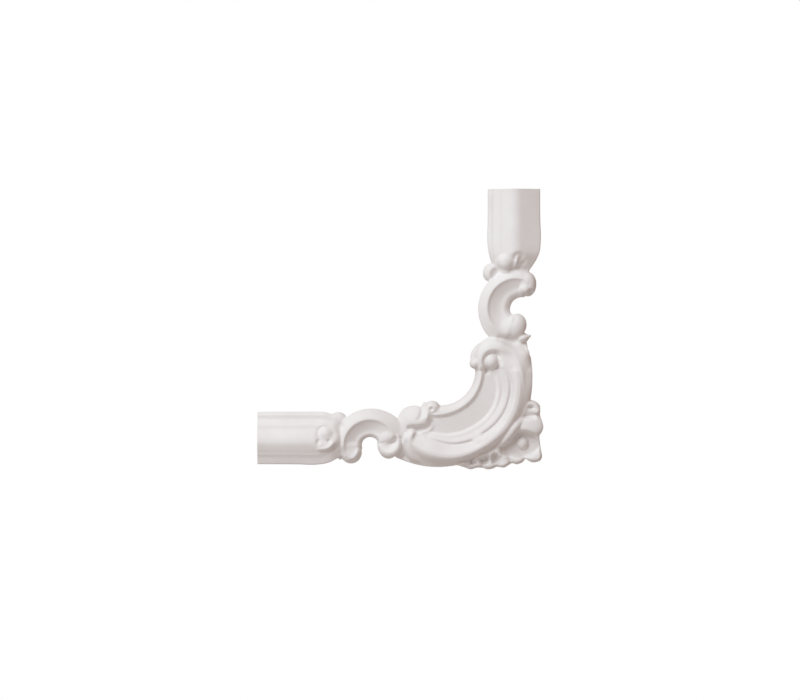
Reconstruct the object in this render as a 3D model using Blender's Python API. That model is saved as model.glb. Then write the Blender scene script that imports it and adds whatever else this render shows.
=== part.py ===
"""Corner of a rococo panel moulding, cast in one piece with a flat back.

Two straight arms of the moulding run up and to the left. A C-shaped scroll joins each of them to a
crescent cartouche that fills the corner, and a ruffled shell spreads behind the crescent. The front faces
-Y, the flat back lies in the plane Y = 0, and the origin is where the centre lines of the two arms cross.
"""
import math

import bmesh
import bpy
import numpy as np

# driving sizes in millimetres: u runs right and v up from the crossing of the arms' centre lines
HALF_WIDTH = 22.8       # half the moulding's width
REACH_UP = 218.0        # cut end of the upright arm above the origin
REACH_LEFT = 224.6      # cut end of the level arm left of the origin
REACH_RIGHT = 27.0      # how far the carving may spread right of the origin
REACH_DOWN = 29.0       # and below it
EDGE = 5.0              # height of the carving at its outline
THINNEST = 3.8          # least height of the casting anywhere
DRAFT = 2.6             # fall of a form's side for each millimetre past its outline
PLACE_BLUR = 0.35       # how far neighbouring stretches of a path share their place along it
FAR_APART = 16          # stretches of a path this many apart do not share their places

# how finely the casting is faceted
STEP = 1.1              # spacing of the grid that the carving is read on
KEPT = 7900             # facets of the front once flat stretches are thinned out
NEAREST = 0.06          # a cut along an edge keeps this share of it from either end
SNAP = 0.35             # points this near a cut end lie in it

NAME = "corner_moulding"
COLOUR = (0.70, 0.655, 0.63, 1.0)
ROUGHNESS = 0.62


def ease(x, low, high):
    t = np.clip((x - low) / (high - low), 0, 1)
    return t * t * (3 - 2 * t)


def smooth_max(a, b, soft=1.0):
    k = np.clip(0.5 + 0.5 * (a - b) / soft, 0, 1)
    return b + (a - b) * k + soft * k * (1 - k)


def curve(x, knots, values):
    """A smooth curve through the values, flat beyond its ends."""
    knots, values = np.asarray(knots, float), np.asarray(values, float)
    slopes = np.gradient(values, knots)
    x = np.clip(x, knots[0], knots[-1])
    i = np.clip(np.searchsorted(knots, x, side="right") - 1, 0, len(knots) - 2)
    span = knots[i + 1] - knots[i]
    t = (x - knots[i]) / span
    a, b = values[i], values[i + 1]
    m, n = slopes[i] * span, slopes[i + 1] * span
    return ((2 * t ** 3 - 3 * t ** 2 + 1) * a + (t ** 3 - 2 * t ** 2 + t) * m
            + (3 * t ** 2 - 2 * t ** 3) * b + (t ** 3 - t ** 2) * n)


def spline(points, per_span=8):
    """A Catmull-Rom curve through the points."""
    p = np.asarray(points, float)
    p = np.vstack([2 * p[0] - p[1], p, 2 * p[-1] - p[-2]])
    out = []
    for a, b, c, d in zip(p[:-3], p[1:-2], p[2:-1], p[3:]):
        for t in np.arange(per_span) / per_span:
            out.append(0.5 * (2 * b + (c - a) * t + (2 * a - 5 * b + 4 * c - d) * t ** 2
                              + (3 * b - a - 3 * c + d) * t ** 3))
    out.append(p[-2])
    return np.array(out)


def trace(path, u, v):
    """Signed distance to the left of the path, and the place along it from 0 to 1, even by its points."""
    best = np.full(u.shape, np.inf)
    nearest = np.zeros(u.shape)
    across = np.zeros(u.shape)
    weight = np.zeros(u.shape)
    place = np.zeros(u.shape)
    for i, ((x0, y0), (x1, y1)) in enumerate(zip(path[:-1], path[1:])):
        dx, dy = x1 - x0, y1 - y0
        t = np.clip(((u - x0) * dx + (v - y0) * dy) / (dx * dx + dy * dy), 0, 1)
        ex, ey = u - x0 - t * dx, v - y0 - t * dy
        gap = np.hypot(ex, ey)
        near = gap < best
        across = np.where(near, np.where(dx * ey - dy * ex >= 0, gap, -gap), across)
        # nearby stretches share the place along the path, so that it changes smoothly
        lead = np.exp(-np.abs(gap - best) / PLACE_BLUR) * (i - nearest < FAR_APART)
        weight = np.where(near, weight * lead + 1, weight + lead)
        place = np.where(near, place * lead + i + t, place + lead * (i + t))
        best = np.minimum(best, gap)
        nearest = np.where(near, i, nearest)
    return across, place / weight / (len(path) - 1)


def steps(along, values):
    """Values at even steps along a path."""
    if np.isscalar(values):
        return np.full(along.shape, float(values))
    return curve(along, np.linspace(0, 1, len(values)), values)


def layered(x, rings, heights):
    """The height at x, between rings that may vary from place to place."""
    top = heights[0]
    for low, high, h0, h1 in zip(rings[:-1], rings[1:], heights[:-1], heights[1:]):
        t = np.clip((x - low) / np.maximum(high - low, 0.05), 0, 1)
        top = np.where(x > low, h0 + (h1 - h0) * t, top)
    return top


class Relief:
    """The height of the carving over the wall plane, and the distance inside its outline."""

    def __init__(self, u, v):
        self.u, self.v = u, v
        self.height = np.full(u.shape, -20.0)
        self.inside = np.full(u.shape, -99.0)

    def near(self, points, reach):
        """The part of the grid within reach of the points, as a relief that shares its heights."""
        points = np.asarray(points, float)
        low, high = points.min(0) - reach - 9.0, points.max(0) + reach + 9.0
        x, y = self.u[0], self.v[:, 0]
        cols = slice(np.searchsorted(x, low[0]), np.searchsorted(x, high[0]))
        rows = slice(np.searchsorted(y, low[1]), np.searchsorted(y, high[1]))
        part = Relief.__new__(Relief)
        part.u, part.v = self.u[rows, cols], self.v[rows, cols]
        part.height, part.inside = self.height[rows, cols], self.inside[rows, cols]
        return part

    def add(self, top, inside, soft=0.8, outline=True, draft=DRAFT):
        top = top - draft * np.clip(-inside, 0, None)
        self.height[...] = smooth_max(self.height, top, soft)
        if outline:
            self.inside[...] = smooth_max(self.inside, inside, 1.0)

    def ellipse(self, centre, radii, turn):
        c, s = math.cos(math.radians(turn)), math.sin(math.radians(turn))
        x, y = self.u - centre[0], self.v - centre[1]
        return np.hypot((x * c + y * s) / radii[0], (y * c - x * s) / radii[1])

    def dome(self, centre, radii, base, rise, turn=0, power=2.0, soft=0.8, outline=False, draft=DRAFT):
        part = self.near([centre], max(radii))
        r = part.ellipse(centre, radii, turn)
        top = base + rise * np.sqrt(np.clip(1 - r ** power, 0, 1))
        part.add(top, (1 - r) * min(radii), soft, outline, draft)

    def hollow(self, centre, radii, depth, turn=0, flat=0.2):
        part = self.near([centre], max(radii))
        r = part.ellipse(centre, radii, turn)
        part.height -= depth * (1 - ease(r, flat, 1.0))

    def roll(self, centre, radii, reach, low):
        """Round a centre, turns the outline's edge over, down to a low height."""
        near = np.clip(self.inside / reach, 0, 1)
        turned = low + (self.height - low) * np.sqrt(near * (2 - near))
        share = ease(1.15 - self.ellipse(centre, radii, 0), 0, 0.3)
        self.height = self.height + (np.minimum(self.height, turned) - self.height) * share

    def groove(self, points, half, depth, ends=0.15):
        part = self.near(points, 3 * np.max(half))
        across, along = trace(spline(points), part.u, part.v)
        fade = ease(along, 0, ends) * ease(1 - along, 0, ends) if ends else 1.0
        part.height -= steps(along, depth) * fade * np.exp(-((across / steps(along, half)) ** 2))

    def ridge(self, points, half, rise, ends=0.2):
        """A rounded ridge standing on whatever is there."""
        part = self.near(points, 3 * np.max(half))
        across, along = trace(spline(points), part.u, part.v)
        fade = ease(along, 0, ends) * ease(1 - along, 0, ends)
        part.height += steps(along, rise) * fade * np.exp(-((across / steps(along, half)) ** 2))

    def band(self, points, half, base, rise, soft=0.8, outline=False, power=2.0, draft=DRAFT):
        """A rounded band; half, base and rise are values at even steps along it."""
        part = self.near(points, np.max(half))
        across, along = trace(spline(points), part.u, part.v)
        w = steps(along, half)
        x = np.clip(np.abs(across) / w, 0, 1)
        top = steps(along, base) + steps(along, rise) * np.sqrt(np.clip(1 - x ** power, 0, 1))
        part.add(top, w - np.abs(across), soft, outline, draft)

    def loft(self, points, rings, heights, soft=0.8, outline=False):
        """A moulded band: rings are distances to the left of the path, each with its height."""
        part = self.near(points, max(np.max(np.abs(ring)) for ring in rings))
        across, along = trace(spline(points), part.u, part.v)
        rings = [steps(along, ring) for ring in rings]
        heights = [steps(along, height) for height in heights]
        top = layered(across, rings, heights)
        inside = np.minimum(across - rings[0], rings[-1] - across)
        part.add(top, inside, soft, outline)

    def sheet(self, points, top, slope, reach, soft=0.8):
        """A piece inside a closed outline that runs clockwise, rising from its rim."""
        part = self.near(points, 0)
        across, _ = trace(spline(list(points) + [points[0]]), part.u, part.v)
        part.add(top + slope * np.clip(-across, 0, reach), -across, soft, True)

    def shell(self, centre, axis, side, degrees, radii, heights, ends, soft=0.8, faded=None):
        """A curved band in polar form: each ring's radius at the degrees, and its height."""
        part = self.near([centre], np.max(radii))
        x, y = part.u - centre[0], part.v - centre[1]
        p, q = x * axis[0] + y * axis[1], x * side[0] + y * side[1]
        far = np.hypot(p, q)
        turn = np.degrees(np.arctan2(q, p))
        rings = [curve(turn, degrees, ring) for ring in radii]
        levels = [curve(turn, degrees, h) if np.ndim(h) else np.full(far.shape, float(h)) for h in heights]
        top = layered(far, rings, levels)
        rest = np.minimum(turn - ends[0], ends[1] - turn)
        if faded:
            top = top - EDGE * (1 - ease(turn - ends[0], 0, faded[0]) * ease(ends[1] - turn, 0, faded[1]))
        inside = np.minimum(far - rings[0], rings[-1] - far)
        part.add(top, np.minimum(inside, rest * np.radians(1) * far), soft, True)


# the moulding's section: places from its inner edge (0) by its crest (1) to its outer edge (2), with heights
INNER_SIDE = ((0.0, 9.4), (0.04, 10.1), (0.08, 10.8), (0.12, 11.1), (0.16, 11.15), (0.20, 11.15),
              (0.25, 11.4), (0.31, 12.2), (0.37, 13.2), (0.43, 14.2), (0.47, 14.6), (0.51, 14.75),
              (0.55, 14.95), (0.61, 15.55), (0.69, 16.6), (0.77, 17.7), (0.85, 18.6), (0.92, 19.1),
              (1.0, 19.45))
PLAIN_SIDE = ((1.06, 19.5), (1.12, 19.45), (1.18, 19.2), (1.24, 18.8), (1.30, 18.25), (1.50, 16.3),
              (1.70, 14.35), (1.90, 12.4), (2.0, 11.4))
LINED_SIDE = ((1.05, 19.48), (1.09, 19.42), (1.13, 19.25), (1.18, 19.0), (1.22, 18.75), (1.27, 18.4),
              (1.33, 17.95), (1.40, 17.4), (1.45, 16.85), (1.50, 16.45), (1.555, 16.1), (1.59, 15.7),
              (1.63, 15.2), (1.68, 14.65), (1.75, 14.05), (1.84, 13.4), (1.92, 12.85), (2.0, 12.3))


def arm(r, s, a, stops, inner, outer, tip, sunk, crest, outer_side):
    """The straight moulding, from its cut end down to its rounded shoulder."""
    low = -curve(a, stops, inner)
    high = curve(a, stops, outer)
    x = (s - low) / (high - low)
    share = np.where(x < crest, x / crest, 1 + (x - crest) / (1 - crest))
    knots, levels = zip(*(INNER_SIDE + outer_side))
    top = curve(share, knots, levels)
    sink = ease(a, *sunk)
    top = EDGE + 0.5 + (top - EDGE - 0.5) * sink - 0.5 * ease(-x, -0.04, 0)
    inside = np.minimum(np.minimum(s - low, high - s), a - tip)
    r.add(top, inside, 0.6)


def upright_bud(r):
    """A ball on a stalk, and a leaf in a pocket beside it."""
    r.hollow((3.9, 158.7), (6.8, 5.6), 1.6, 0, 0.35)
    r.dome((-7.5, 154.8), (7.0, 7.4), 11.8, 5.8, soft=2.6)
    r.dome((-6.6, 148.0), (5.4, 6.0), 8.5, 4.5, soft=2.5)
    r.groove([(11.4, 158.1), (8.3, 153.7), (4.2, 149.9), (0.0, 147.1), (-4.8, 146.0)], 1.8,
             (0.4, 1.2, 2.0, 2.8, 1.6), 0.1)
    r.ridge([(3.3, 160.4), (2.5, 155.9), (1.1, 151.5), (-1.4, 148.3)], (1.0, 1.3, 1.2, 1.0),
            (1.2, 1.9, 1.8, 1.0))


def level_bud(r):
    """The same on the level arm, with the leaf curled round below the ball."""
    r.hollow((-164.6, 2.6), (11.0, 10.0), 1.6, 0, 0.5)
    r.dome((-165.0, 3.3), (7.0, 6.8), 11.6, 6.8, soft=2.0)
    r.dome((-159.4, 6.1), (6.0, 6.0), 9.0, 5.0, soft=2.5)
    r.hollow((-171.3, -3.5), (3.2, 3.6), 1.7, 0, 0.1)
    r.hollow((-162.0, -2.8), (2.4, 2.4), 1.8, 0, 0.1)
    r.ridge([(-173.7, -9.1), (-169.0, -9.6), (-164.2, -9.1), (-159.8, -6.5), (-157.1, -1.8)],
            (1.1, 1.6, 1.9, 1.7, 1.2), (0.6, 1.5, 1.9, 1.7, 0.8))
    r.groove([(-169.9, -13.3), (-163.3, -13.0), (-158.1, -10.5), (-154.1, -5.7)], 2.2, (0.3, 0.8, 1.8, 2.4),
             0.15)


def scroll(r, centre, axis, side, degrees, notch, inner, channel, outer, ends, floor, crest,
           faded=(14, 14)):
    """A C-shaped band: a lip at the notch, a channel that deepens towards it and a broad outer rim."""
    rings, levels = [], []
    for share, low in ((0.0, 4.4), (0.25, 2.6), (0.55, 1.2), (0.8, 0.4)):
        rings.append([a + share * (b - a) for a, b in zip(notch, inner)])
        levels.append([f - low for f in floor])
    for share, depth in ((0.0, 1.0), (0.12, 1.0), (0.25, 0.98), (0.40, 0.88), (0.55, 0.74), (0.70, 0.58),
                         (0.84, 0.42), (0.93, 0.28), (1.0, 0.04)):
        rings.append([a + share * (b - a) for a, b in zip(inner, channel)])
        levels.append([c - depth * (c - f) for f, c in zip(floor, crest)])
    for share, fall in ((0.12, 0.02), (0.30, 0.09), (0.50, 0.20), (0.70, 0.32), (0.90, 0.45), (1.0, 0.54)):
        rings.append([a + share * (b - a) for a, b in zip(channel, outer)])
        levels.append([c - fall * (c - EDGE) for c in crest])
    r.shell(centre, axis, side, degrees, rings, levels, ends, 0.8, faded)


def upright_scroll(r):
    """The scroll between the upright arm and the crescent, open to the right."""
    degrees = (-80, -50, -20, 20, 60, 85, 110, 125)
    scroll(r, (2.0, 114.0), (-1, 0), (0, 1), degrees, (6.7, 6.6, 5.8, 5.2, 6.2, 7.6, 9.8, 11.5),
           (10.6, 11.4, 11.2, 11.0, 12.2, 13.6, 16.2, 17.5), (22.4, 24.4, 25.0, 25.0, 25.2, 25.4, 24.6,
                                                              22.6),
                                                              (30.5, 34.4, 33.6, 33.0, 33.4, 34.0, 32.6,
                                                               28.6), (-84, 127),
                                                               (12.0, 11.2, 10.0, 9.4, 9.2, 9.2, 9.8, 11.0),
                                                               (12.8, 13.8, 14.6, 14.6, 14.6, 14.4, 13.8,
                                                                13.2))
    # far end: the band curls over into an eye
    r.dome((12.3, 134.7), (7.3, 10.6), 5.4, 8.2, power=2.6, soft=2.6, outline=True)
    r.hollow((14.4, 127.8), (3.6, 3.2), 3.4, 0, 0.2)
    r.dome((9.6, 130.5), (4.6, 4.2), 9.0, 4.8, soft=2.4)
    # near end: a smooth knob
    r.dome((-1.8, 96.7), (12.4, 9.0), 5.4, 6.6, 10, 2.2, 5.0, True, 0.9)
    r.dome((-3.0, 93.9), (9.4, 7.4), 6.4, 5.6, 0, 2.0, 4.0)
    r.dome((2.6, 99.6), (8.4, 9.4), 6.4, 7.2, 0, 1.5, 5.0, True)


def level_scroll(r):
    """The scroll between the level arm and the crescent, open below."""
    degrees = (-80, -50, -20, 20, 60, 85, 110)
    scroll(r, (-126.0, -6.0), (0, 1), (-1, 0), degrees, (7.4, 7.1, 6.8, 6.8, 7.1, 7.2, 7.4),
           (10.4, 10.2, 9.8, 9.8, 10.6, 11.4, 12.0), (20.4, 21.6, 21.8, 21.8, 22.4, 22.8, 22.6),
           (31.0, 33.0, 32.0, 31.5, 31.4, 30.6, 29.6), (-86, 116), (11.8, 10.6, 9.2, 8.8, 8.6, 8.8, 9.8),
           (12.8, 13.8, 14.6, 14.6, 14.6, 14.4, 13.8), (14, 26))
    r.dome((-142.7, -12.6), (9.4, 9.8), 4.6, 6.4, 0, 2.0, 5.0, True)
    r.hollow((-141.9, -21.0), (6.0, 3.2), 1.6)
    r.ridge([(-145.4, -19.7), (-140.5, -17.2), (-137.1, -12.8), (-136.3, -7.0)], 2.0, (0.2, 1.4, 1.8, 0.4))
    # near end: a volute with a crescent rim
    r.dome((-109.9, -4.4), (9.9, 13.8), 5.0, 6.4, 0, 2.4, 2.0, True)
    r.dome((-110.3, 0.9), (6.6, 6.0), 7.2, 5.2, 0, 1.4, 3.6)
    r.band([(-116.8, -7.0), (-113.3, -11.4), (-108.1, -12.8), (-103.2, -9.8), (-101.1, -4.0),
            (-101.9, 1.8)], (2.4, 4.0, 4.8, 4.4, 3.2, 2.0), (7.4, 8.0, 8.2, 8.2, 8.2, 9.0),
            (2.6, 4.4, 5.4, 5.2, 4.4, 3.0), 2.8, False, 1.5)
    r.groove([(-105.3, 2.6), (-104.0, -0.5), (-105.3, -3.7), (-108.9, -5.3), (-113.0, -4.7)],
             (1.3, 1.6, 1.6, 1.5, 1.2), (0.4, 2.0, 2.4, 1.2, 0.3), 0.15)


CENTRE = (-64.8, 59.5)


def cartouche(r):
    """A crescent dish: from the inside, a rim, a sunk floor, two ribs and a broad outer band."""
    degrees = (-118, -100, -80, -60, -40, -20, 0, 15, 30)
    radii = (
        (31.1, 31.1, 31.1, 31.1, 31.1, 31.1, 31.1, 31.1, 31.1),
        (32.2, 32.2, 32.2, 32.2, 32.2, 32.2, 32.2, 32.2, 32.2),
        (35.4, 35.6, 35.2, 34.8, 34.6, 34.2, 34.2, 34.2, 34.2),
        (39.8, 39.8, 38.5, 37.8, 37.6, 37.0, 37.0, 36.6, 36.6),
        (41.8, 41.8, 40.8, 39.9, 39.6, 39.0, 38.8, 38.4, 38.4),
        (44.0, 44.0, 43.0, 42.1, 41.8, 41.2, 40.4, 39.8, 39.6),
        (51.0, 54.2, 56.6, 56.8, 56.6, 53.1, 46.2, 41.3, 39.8),
        (52.8, 55.8, 58.0, 58.4, 58.2, 54.7, 48.0, 43.1, 41.6),
        (54.4, 57.2, 60.4, 61.0, 60.6, 58.4, 51.0, 45.6, 43.8),
        (56.0, 59.2, 63.6, 64.8, 64.0, 60.8, 53.6, 48.4, 46.4),
        (57.0, 61.0, 66.0, 67.6, 66.4, 63.0, 55.4, 51.4, 50.0),
        (59.2, 63.4, 68.8, 70.6, 69.4, 66.2, 59.2, 54.8, 53.6),
        (64.0, 70.0, 74.8, 75.0, 73.6, 70.0, 66.2, 63.6, 62.6),
        (66.6, 73.2, 77.4, 77.2, 76.6, 73.4, 69.0, 66.0, 65.0),
        (69.2, 76.0, 79.6, 79.0, 78.8, 75.8, 71.6, 68.6, 67.6),
        (78.0, 81.4, 81.9, 81.8, 81.4, 79.8, 77.8, 76.8, 75.8),
        (85.6, 85.3, 84.6, 84.4, 84.0, 82.2, 80.7, 79.8, 79.0),
    )
    dip = (12.0, 12.0, 12.0, 12.0, 11.8, 11.0, 10.8, 10.8, 10.8)
    shoulder = (17.2, 17.2, 17.2, 17.4, 17.6, 17.8, 18.0, 18.0, 18.0)
    flank = (9.4, 9.4, 9.6, 10.4, 12.2, 14.8, 15.2, 15.2, 15.2)
    rim = (6.0, 6.0, 6.0, 6.6, 8.8, 12.6, 13.6, 13.6, 13.6)
    heights = (EDGE, 9.6, 12.0, 13.1, 9.6, 9.9, 8.7, 11.6, dip, 14.0, 14.8, 15.4, 19.2, 19.2, shoulder,
               flank, rim)
    r.shell(CENTRE, (1, 0), (0, 1), degrees, radii, heights, (-117, 9), 0.8, (24, 11))
    # a groove parts the ribs from the outer band, broken where the upper band ends over the lower one
    r.groove([(-9.3, 65.1), (-5.3, 57.3), (-2.6, 47.3), (-3.5, 36.4), (-7.7, 23.8), (-15.2, 13.0),
              (-23.8, 5.6), (-28.9, 2.3)], (1.3,) * 8, (1.6, 2.2, 2.2, 2.2, 2.2, 2.2, 2.2, 1.8), 0.06)
    r.groove([(-35.1, -2.1), (-43.6, -4.6), (-52.5, -5.7), (-61.5, -4.7), (-70.4, -1.9), (-78.8, 1.8)],
             (1.2,) * 6, (2.2, 2.4, 2.2, 2.0, 1.4, 0.8), 0.06)
    r.band([(-7.9, 11.4), (-16.6, 2.6), (-24.5, -2.6), (-30.2, -3.9)], (2.4, 4.6, 5.4, 5.0),
           (15.5, 15, 14.2, 12.6), (2.6, 3.6, 4.2, 4.6), 1.4)


def top_volute(r):
    """The band winds over the top of the crescent and round a ball."""
    r.dome((-21.9, 70.9), (16.0, 14.0), EDGE, 4.5, 0, 3.0, 1.0, True)
    path = [(-25.7, 63.5), (-26.1, 67.9), (-24.2, 72.2), (-20.0, 74.1), (-15.2, 72.5), (-12.1, 68.8),
            (-9.3, 63.0), (-4.6, 54.3), (-2.3, 43.8), (-2.8, 33.3)]
    rings = (
        (-2.5,) * 10,
        (0.0,) * 10,
        (1.2, 1.2, 1.2, 1.3, 1.6, 1.8, 1.8, 1.8, 1.8, 1.8),
        (2.6, 2.8, 3.0, 3.8, 5.4, 7.6, 9.2, 9.4, 9.0, 8.4),
        (5.2, 5.6, 6.4, 8.0, 10.4, 12.8, 12.8, 11.8, 10.6, 9.8),
        (7.0, 8.0, 9.2, 11.6, 14.6, 20.2, 21.9, 17.6, 15.6, 14.6),
        (8.6, 9.4, 10.8, 14.6, 17.8, 24.6, 25.4, 20.4, 18.0, 17.0))
    heights = (
        (11.0, 11.0, 11.0, 11.0, 12.0, 14.8, 15.2, 12.8, 9.0, 8.0),
        (11.6, 11.6, 11.6, 11.6, 12.8, 15.0, 15.6, 14.8, 12.0, 9.0),
        (14.2, 14.6, 14.8, 14.8, 14.4, 15.2, 15.8, 15.8, 14.6, 11.0),
        (15.0, 15.6, 16.0, 16.6, 16.8, 16.4, 17.4, 18.8, 17.4, 14.0),
        (13.6, 14.4, 14.8, 15.4, 16.8, 17.8, 18.8, 19.3, 17.4, 14.0),
        (11.4, 11.6, 12.0, 12.6, 13.8, 15.2, 15.4, 15.2, 12.0, 8.0),
        (6.0, 7.0, 8.0, 9.0, 10.4, 11.6, 12.8, 13.2, 10.4, 6.0))
    r.loft(path, rings, heights, 0.8, True)
    r.hollow((-25.4, 59.0), (5.4, 3.8), 2.8, -30)
    r.groove([(-18.4, 74.9), (-14.0, 73.1), (-11.2, 68.7), (-9.5, 64.8), (-6.8, 60.0)],
             (1.3, 1.4, 1.6, 1.7, 1.6), (0.8, 2.4, 2.2, 0.8, 0.2), 0.12)
    r.dome((-33.8, 65.3), (5.0, 4.8), 7.4, 7.2, 0, 2.2, 1.8, True)
    r.dome((-20.3, 67.3), (5.2, 5.2), 10.6, 6.0, soft=0.6)


def left_volute(r):
    """A lobe with a rolled lip over a hook that starts the lower band."""
    r.dome((-81.4, -4.4), (17.6, 15.4), EDGE, 4.6, 0, 3.0, 3.0, True)
    r.dome((-94.6, 4.4), (7.0, 10.0), EDGE, 5.0, 0, 2.6, 3.0)
    r.dome((-87.6, 15.3), (14.0, 13.0), 5.4, 6.2, 0, 2.2, 2.5, True)
    r.dome((-84.1, 14.0), (16.4, 15.2), 5.0, 10.0, 0, 1.6, 2.0)
    r.groove([(-81.4, 28.9), (-80.7, 23.6), (-82.0, 18.4), (-85.5, 14.0)], (1.3, 1.7, 1.7, 1.3),
             (0.3, 1.0, 1.1, 0.4), 0.2)
    r.ridge([(-79.2, 29.3), (-76.2, 24.5), (-76.0, 18.8), (-78.8, 14.5)], (1.8, 2.3, 2.3, 2.0),
            (0.8, 2.2, 2.4, 1.2))
    r.dome((-71.6, 26.3), (7.0, 6.2), 5.5, 8.6, 0, 2.4, 1.6, True)
    r.hollow((-72.3, 25.4), (2.4, 2.4), 2.2)
    r.groove([(-72.2, 17.5), (-73.0, 12.6), (-77.1, 9.1), (-84.1, 8.2), (-90.6, 9.1), (-94.0, 7.9)],
             (1.6, 2.0, 2.4, 2.3, 1.8, 1.2), (1.0, 2.2, 3.8, 4.6, 4.0, 1.6), 0.12)
    r.band([(-85.3, 2.8), (-87.7, 4.6), (-90.2, 1.9), (-90.9, -3.5), (-89.8, -9.6), (-86.5, -15.3),
            (-80.0, -19.3)], (1.4, 2.8, 4.0, 5.0, 5.4, 5.2, 3.0), (9.0, 9.8, 9.8, 9.2, 8.4, 7.2, 6.0),
            (2.2, 4.8, 6.0, 6.2, 5.6, 4.4, 2.4), 1.4, True, 1.4)
    r.hollow((-84.4, 6.3), (5.2, 4.2), 2.0, 0, 0.1)


def rocaille(r):
    """A ruffled shell spreads behind the crescent's lower right, round a boss in a bowl."""
    outline = [(0.9, 29.8), (6.1, 32.0), (10.9, 33.1), (16.6, 30.5), (21.0, 27.3), (22.8, 23.6),
               (22.8, 20.1), (24.5, 14.9), (25.6, 9.6), (24.3, 5.3), (22.4, 1.8), (22.9, -4.4),
               (23.8, -10.5), (24.7, -16.2), (22.6, -20.1), (16.6, -21.5), (12.7, -20.0), (10.1, -18.4),
               (7.4, -21.4), (2.6, -23.1), (-1.3, -22.2), (-3.9, -23.3), (-8.3, -25.9), (-12.3, -25.7),
               (-15.5, -25.4), (-18.8, -27.0), (-23.2, -27.5), (-27.6, -26.3), (-32.4, -26.1),
               (-38.1, -27.5), (-43.3, -25.7), (-47.3, -24.2), (-50.3, -22.1), (-44.7, -18.4),
               (-31.5, -8.8), (-12.3, 7.0)]
    r.sheet(outline, 8.2, 0.34, 12.0)
    # petals swell between the valleys
    for centre, wide, deep, base, rise, turn in (
            ((14.0, 11.4), 12.2, 9.8, 10.2, 4.6, -10), ((18.4, -16.6), 6.6, 5.4, 6.8, 2.8, 20),
            ((3.5, -19.6), 5.6, 3.6, 8.2, 2.2, 0),
            ((-6.5, -21.9), 5.4, 3.6, 8.2, 2.2, 15), ((-20.3, -24.2), 4.8, 3.2, 8.0, 2.4, 10),
            ((-32.8, -24.5), 5.0, 2.6, 7.8, 2.0, 0), ((-43.8, -23.3), 5.6, 3.2, 7.6, 2.2, 10)):
        r.dome(centre, (wide, deep), base, rise, turn, 2.6, 1.6)
    r.roll((-12.3, -12.3), (42.0, 20.0), 2.6, 4.0)
    # the bowl round the boss, then the deep folds along the crescent
    r.hollow((6.7, -5.6), (18.2, 13.6), 12.0, 0, 0.45)
    r.hollow((18.9, -9.6), (8.6, 9.6), 1.8, 0, 0.3)
    r.hollow((-5.7, -10.1), (9.4, 7.4), 7.4, 0, 0.4)
    r.hollow((-25.8, -18.4), (6.0, 5.2), 7.0, 0, 0.4)
    r.hollow((-16.6, -18.0), (4.4, 5.8), 7.0, 0, 0.4)
    r.hollow((-38.5, -20.3), (7.0, 3.6), 6.4, 0, 0.4)
    for points, depth in (([(10.2, -20.1), (8.4, -16.6), (6.1, -14.0)], 1.2),
                          ([(-2.2, -23.2), (-3.5, -18.4), (-5.3, -14.0)], 2.4),
                          ([(-14.0, -26.3), (-12.7, -20.1), (-10.5, -14.9)], 2.6),
                          ([(-27.6, -26.8), (-27.1, -21.9), (-28.9, -17.5)], 2.6),
                          ([(23.6, 0.9), (19.3, 1.8), (13.1, 3.9), (6.1, 5.3)], 2.2)):
        r.groove(points, 1.5, depth, 0.3)
    r.dome((7.5, -4.7), (5.6, 5.8), 2.6, 6.2, soft=1.4)
    # the valley along the crescent's side, and the main fold standing beside it
    r.groove([(3.5, 18.4), (-6.1, 6.1), (-16.6, -4.4), (-28.0, -10.9)], (1.6, 1.9, 1.9, 1.6),
             (3.0, 4.0, 4.6, 4.0), 0.15)
    r.band([(5.8, 15.8), (1.4, 11.2), (-3.9, 4.4), (-8.8, -2.1), (-13.1, -6.8)], (3.0, 4.2, 4.1, 3.2, 1.9),
           (9.6, 10.6, 10.4, 9.4, 8.0), (5.0, 6.4, 6.4, 5.6, 3.6), 1.2, False, 2.8)
    r.band([(-14.4, -7.0), (-13.7, -10.5), (-11.4, -15.8)], (1.6, 1.6, 1.2), (8.6, 8.2, 7.6),
           (3.6, 3.4, 2.4), 0.8)
    r.band([(-35.0, -20.1), (-31.9, -16.9), (-27.1, -15.2), (-19.3, -13.8)], (1.2, 1.6, 1.7, 1.0),
           (8.4, 8.8, 9.0, 8.4), (2.4, 3.2, 3.2, 2.0), 0.8)
    r.band([(-40.3, -21.5), (-44.7, -22.2), (-49.4, -22.6)], (1.8, 2.6, 0.9), (8.0, 8.4, 8.0),
           (2.0, 3.0, 2.0), 1.0, True)
    # the open curl over the petals
    r.dome((13.6, 26.3), (9.4, 7.0), 8.0, 4.6, 0, 2.6, 1.2, True)
    r.hollow((14.9, 26.8), (4.0, 2.0), 3.6, -10, 0.2)
    r.band([(7.7, 20.1), (8.4, 25.0), (11.0, 29.4), (16.1, 30.1), (20.0, 26.8), (20.3, 23.3), (14.9, 22.6)],
           (2.6, 3.2, 2.7, 2.0, 1.9, 2.1, 1.6), (10.4, 10.8, 10.8, 10.2, 10, 10, 9.8),
           (2.8, 3.0, 2.8, 2.4, 2.6, 2.8, 2), 1.6)
    r.groove([(7.0, 18.7), (13.1, 18.9), (20.1, 17.9)], (1.5, 1.8, 1.5), (2.4, 3.4, 1.6), 0.2)


def neck(r):
    """The bridge between the scroll and the crescent, with a leaf tip on its outer side."""
    r.dome((3.5, 79.7), (8.4, 9.0), EDGE, 2.0, 0, 3.0, 1.0, True)
    r.band([(2.6, 84.4), (8.4, 87.4), (14.2, 89.5)], (2.4, 3.6, 0.8), (6.8, 7.0, 5.6), (2.6, 4, 2.6), 1.2,
           True)


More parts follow.
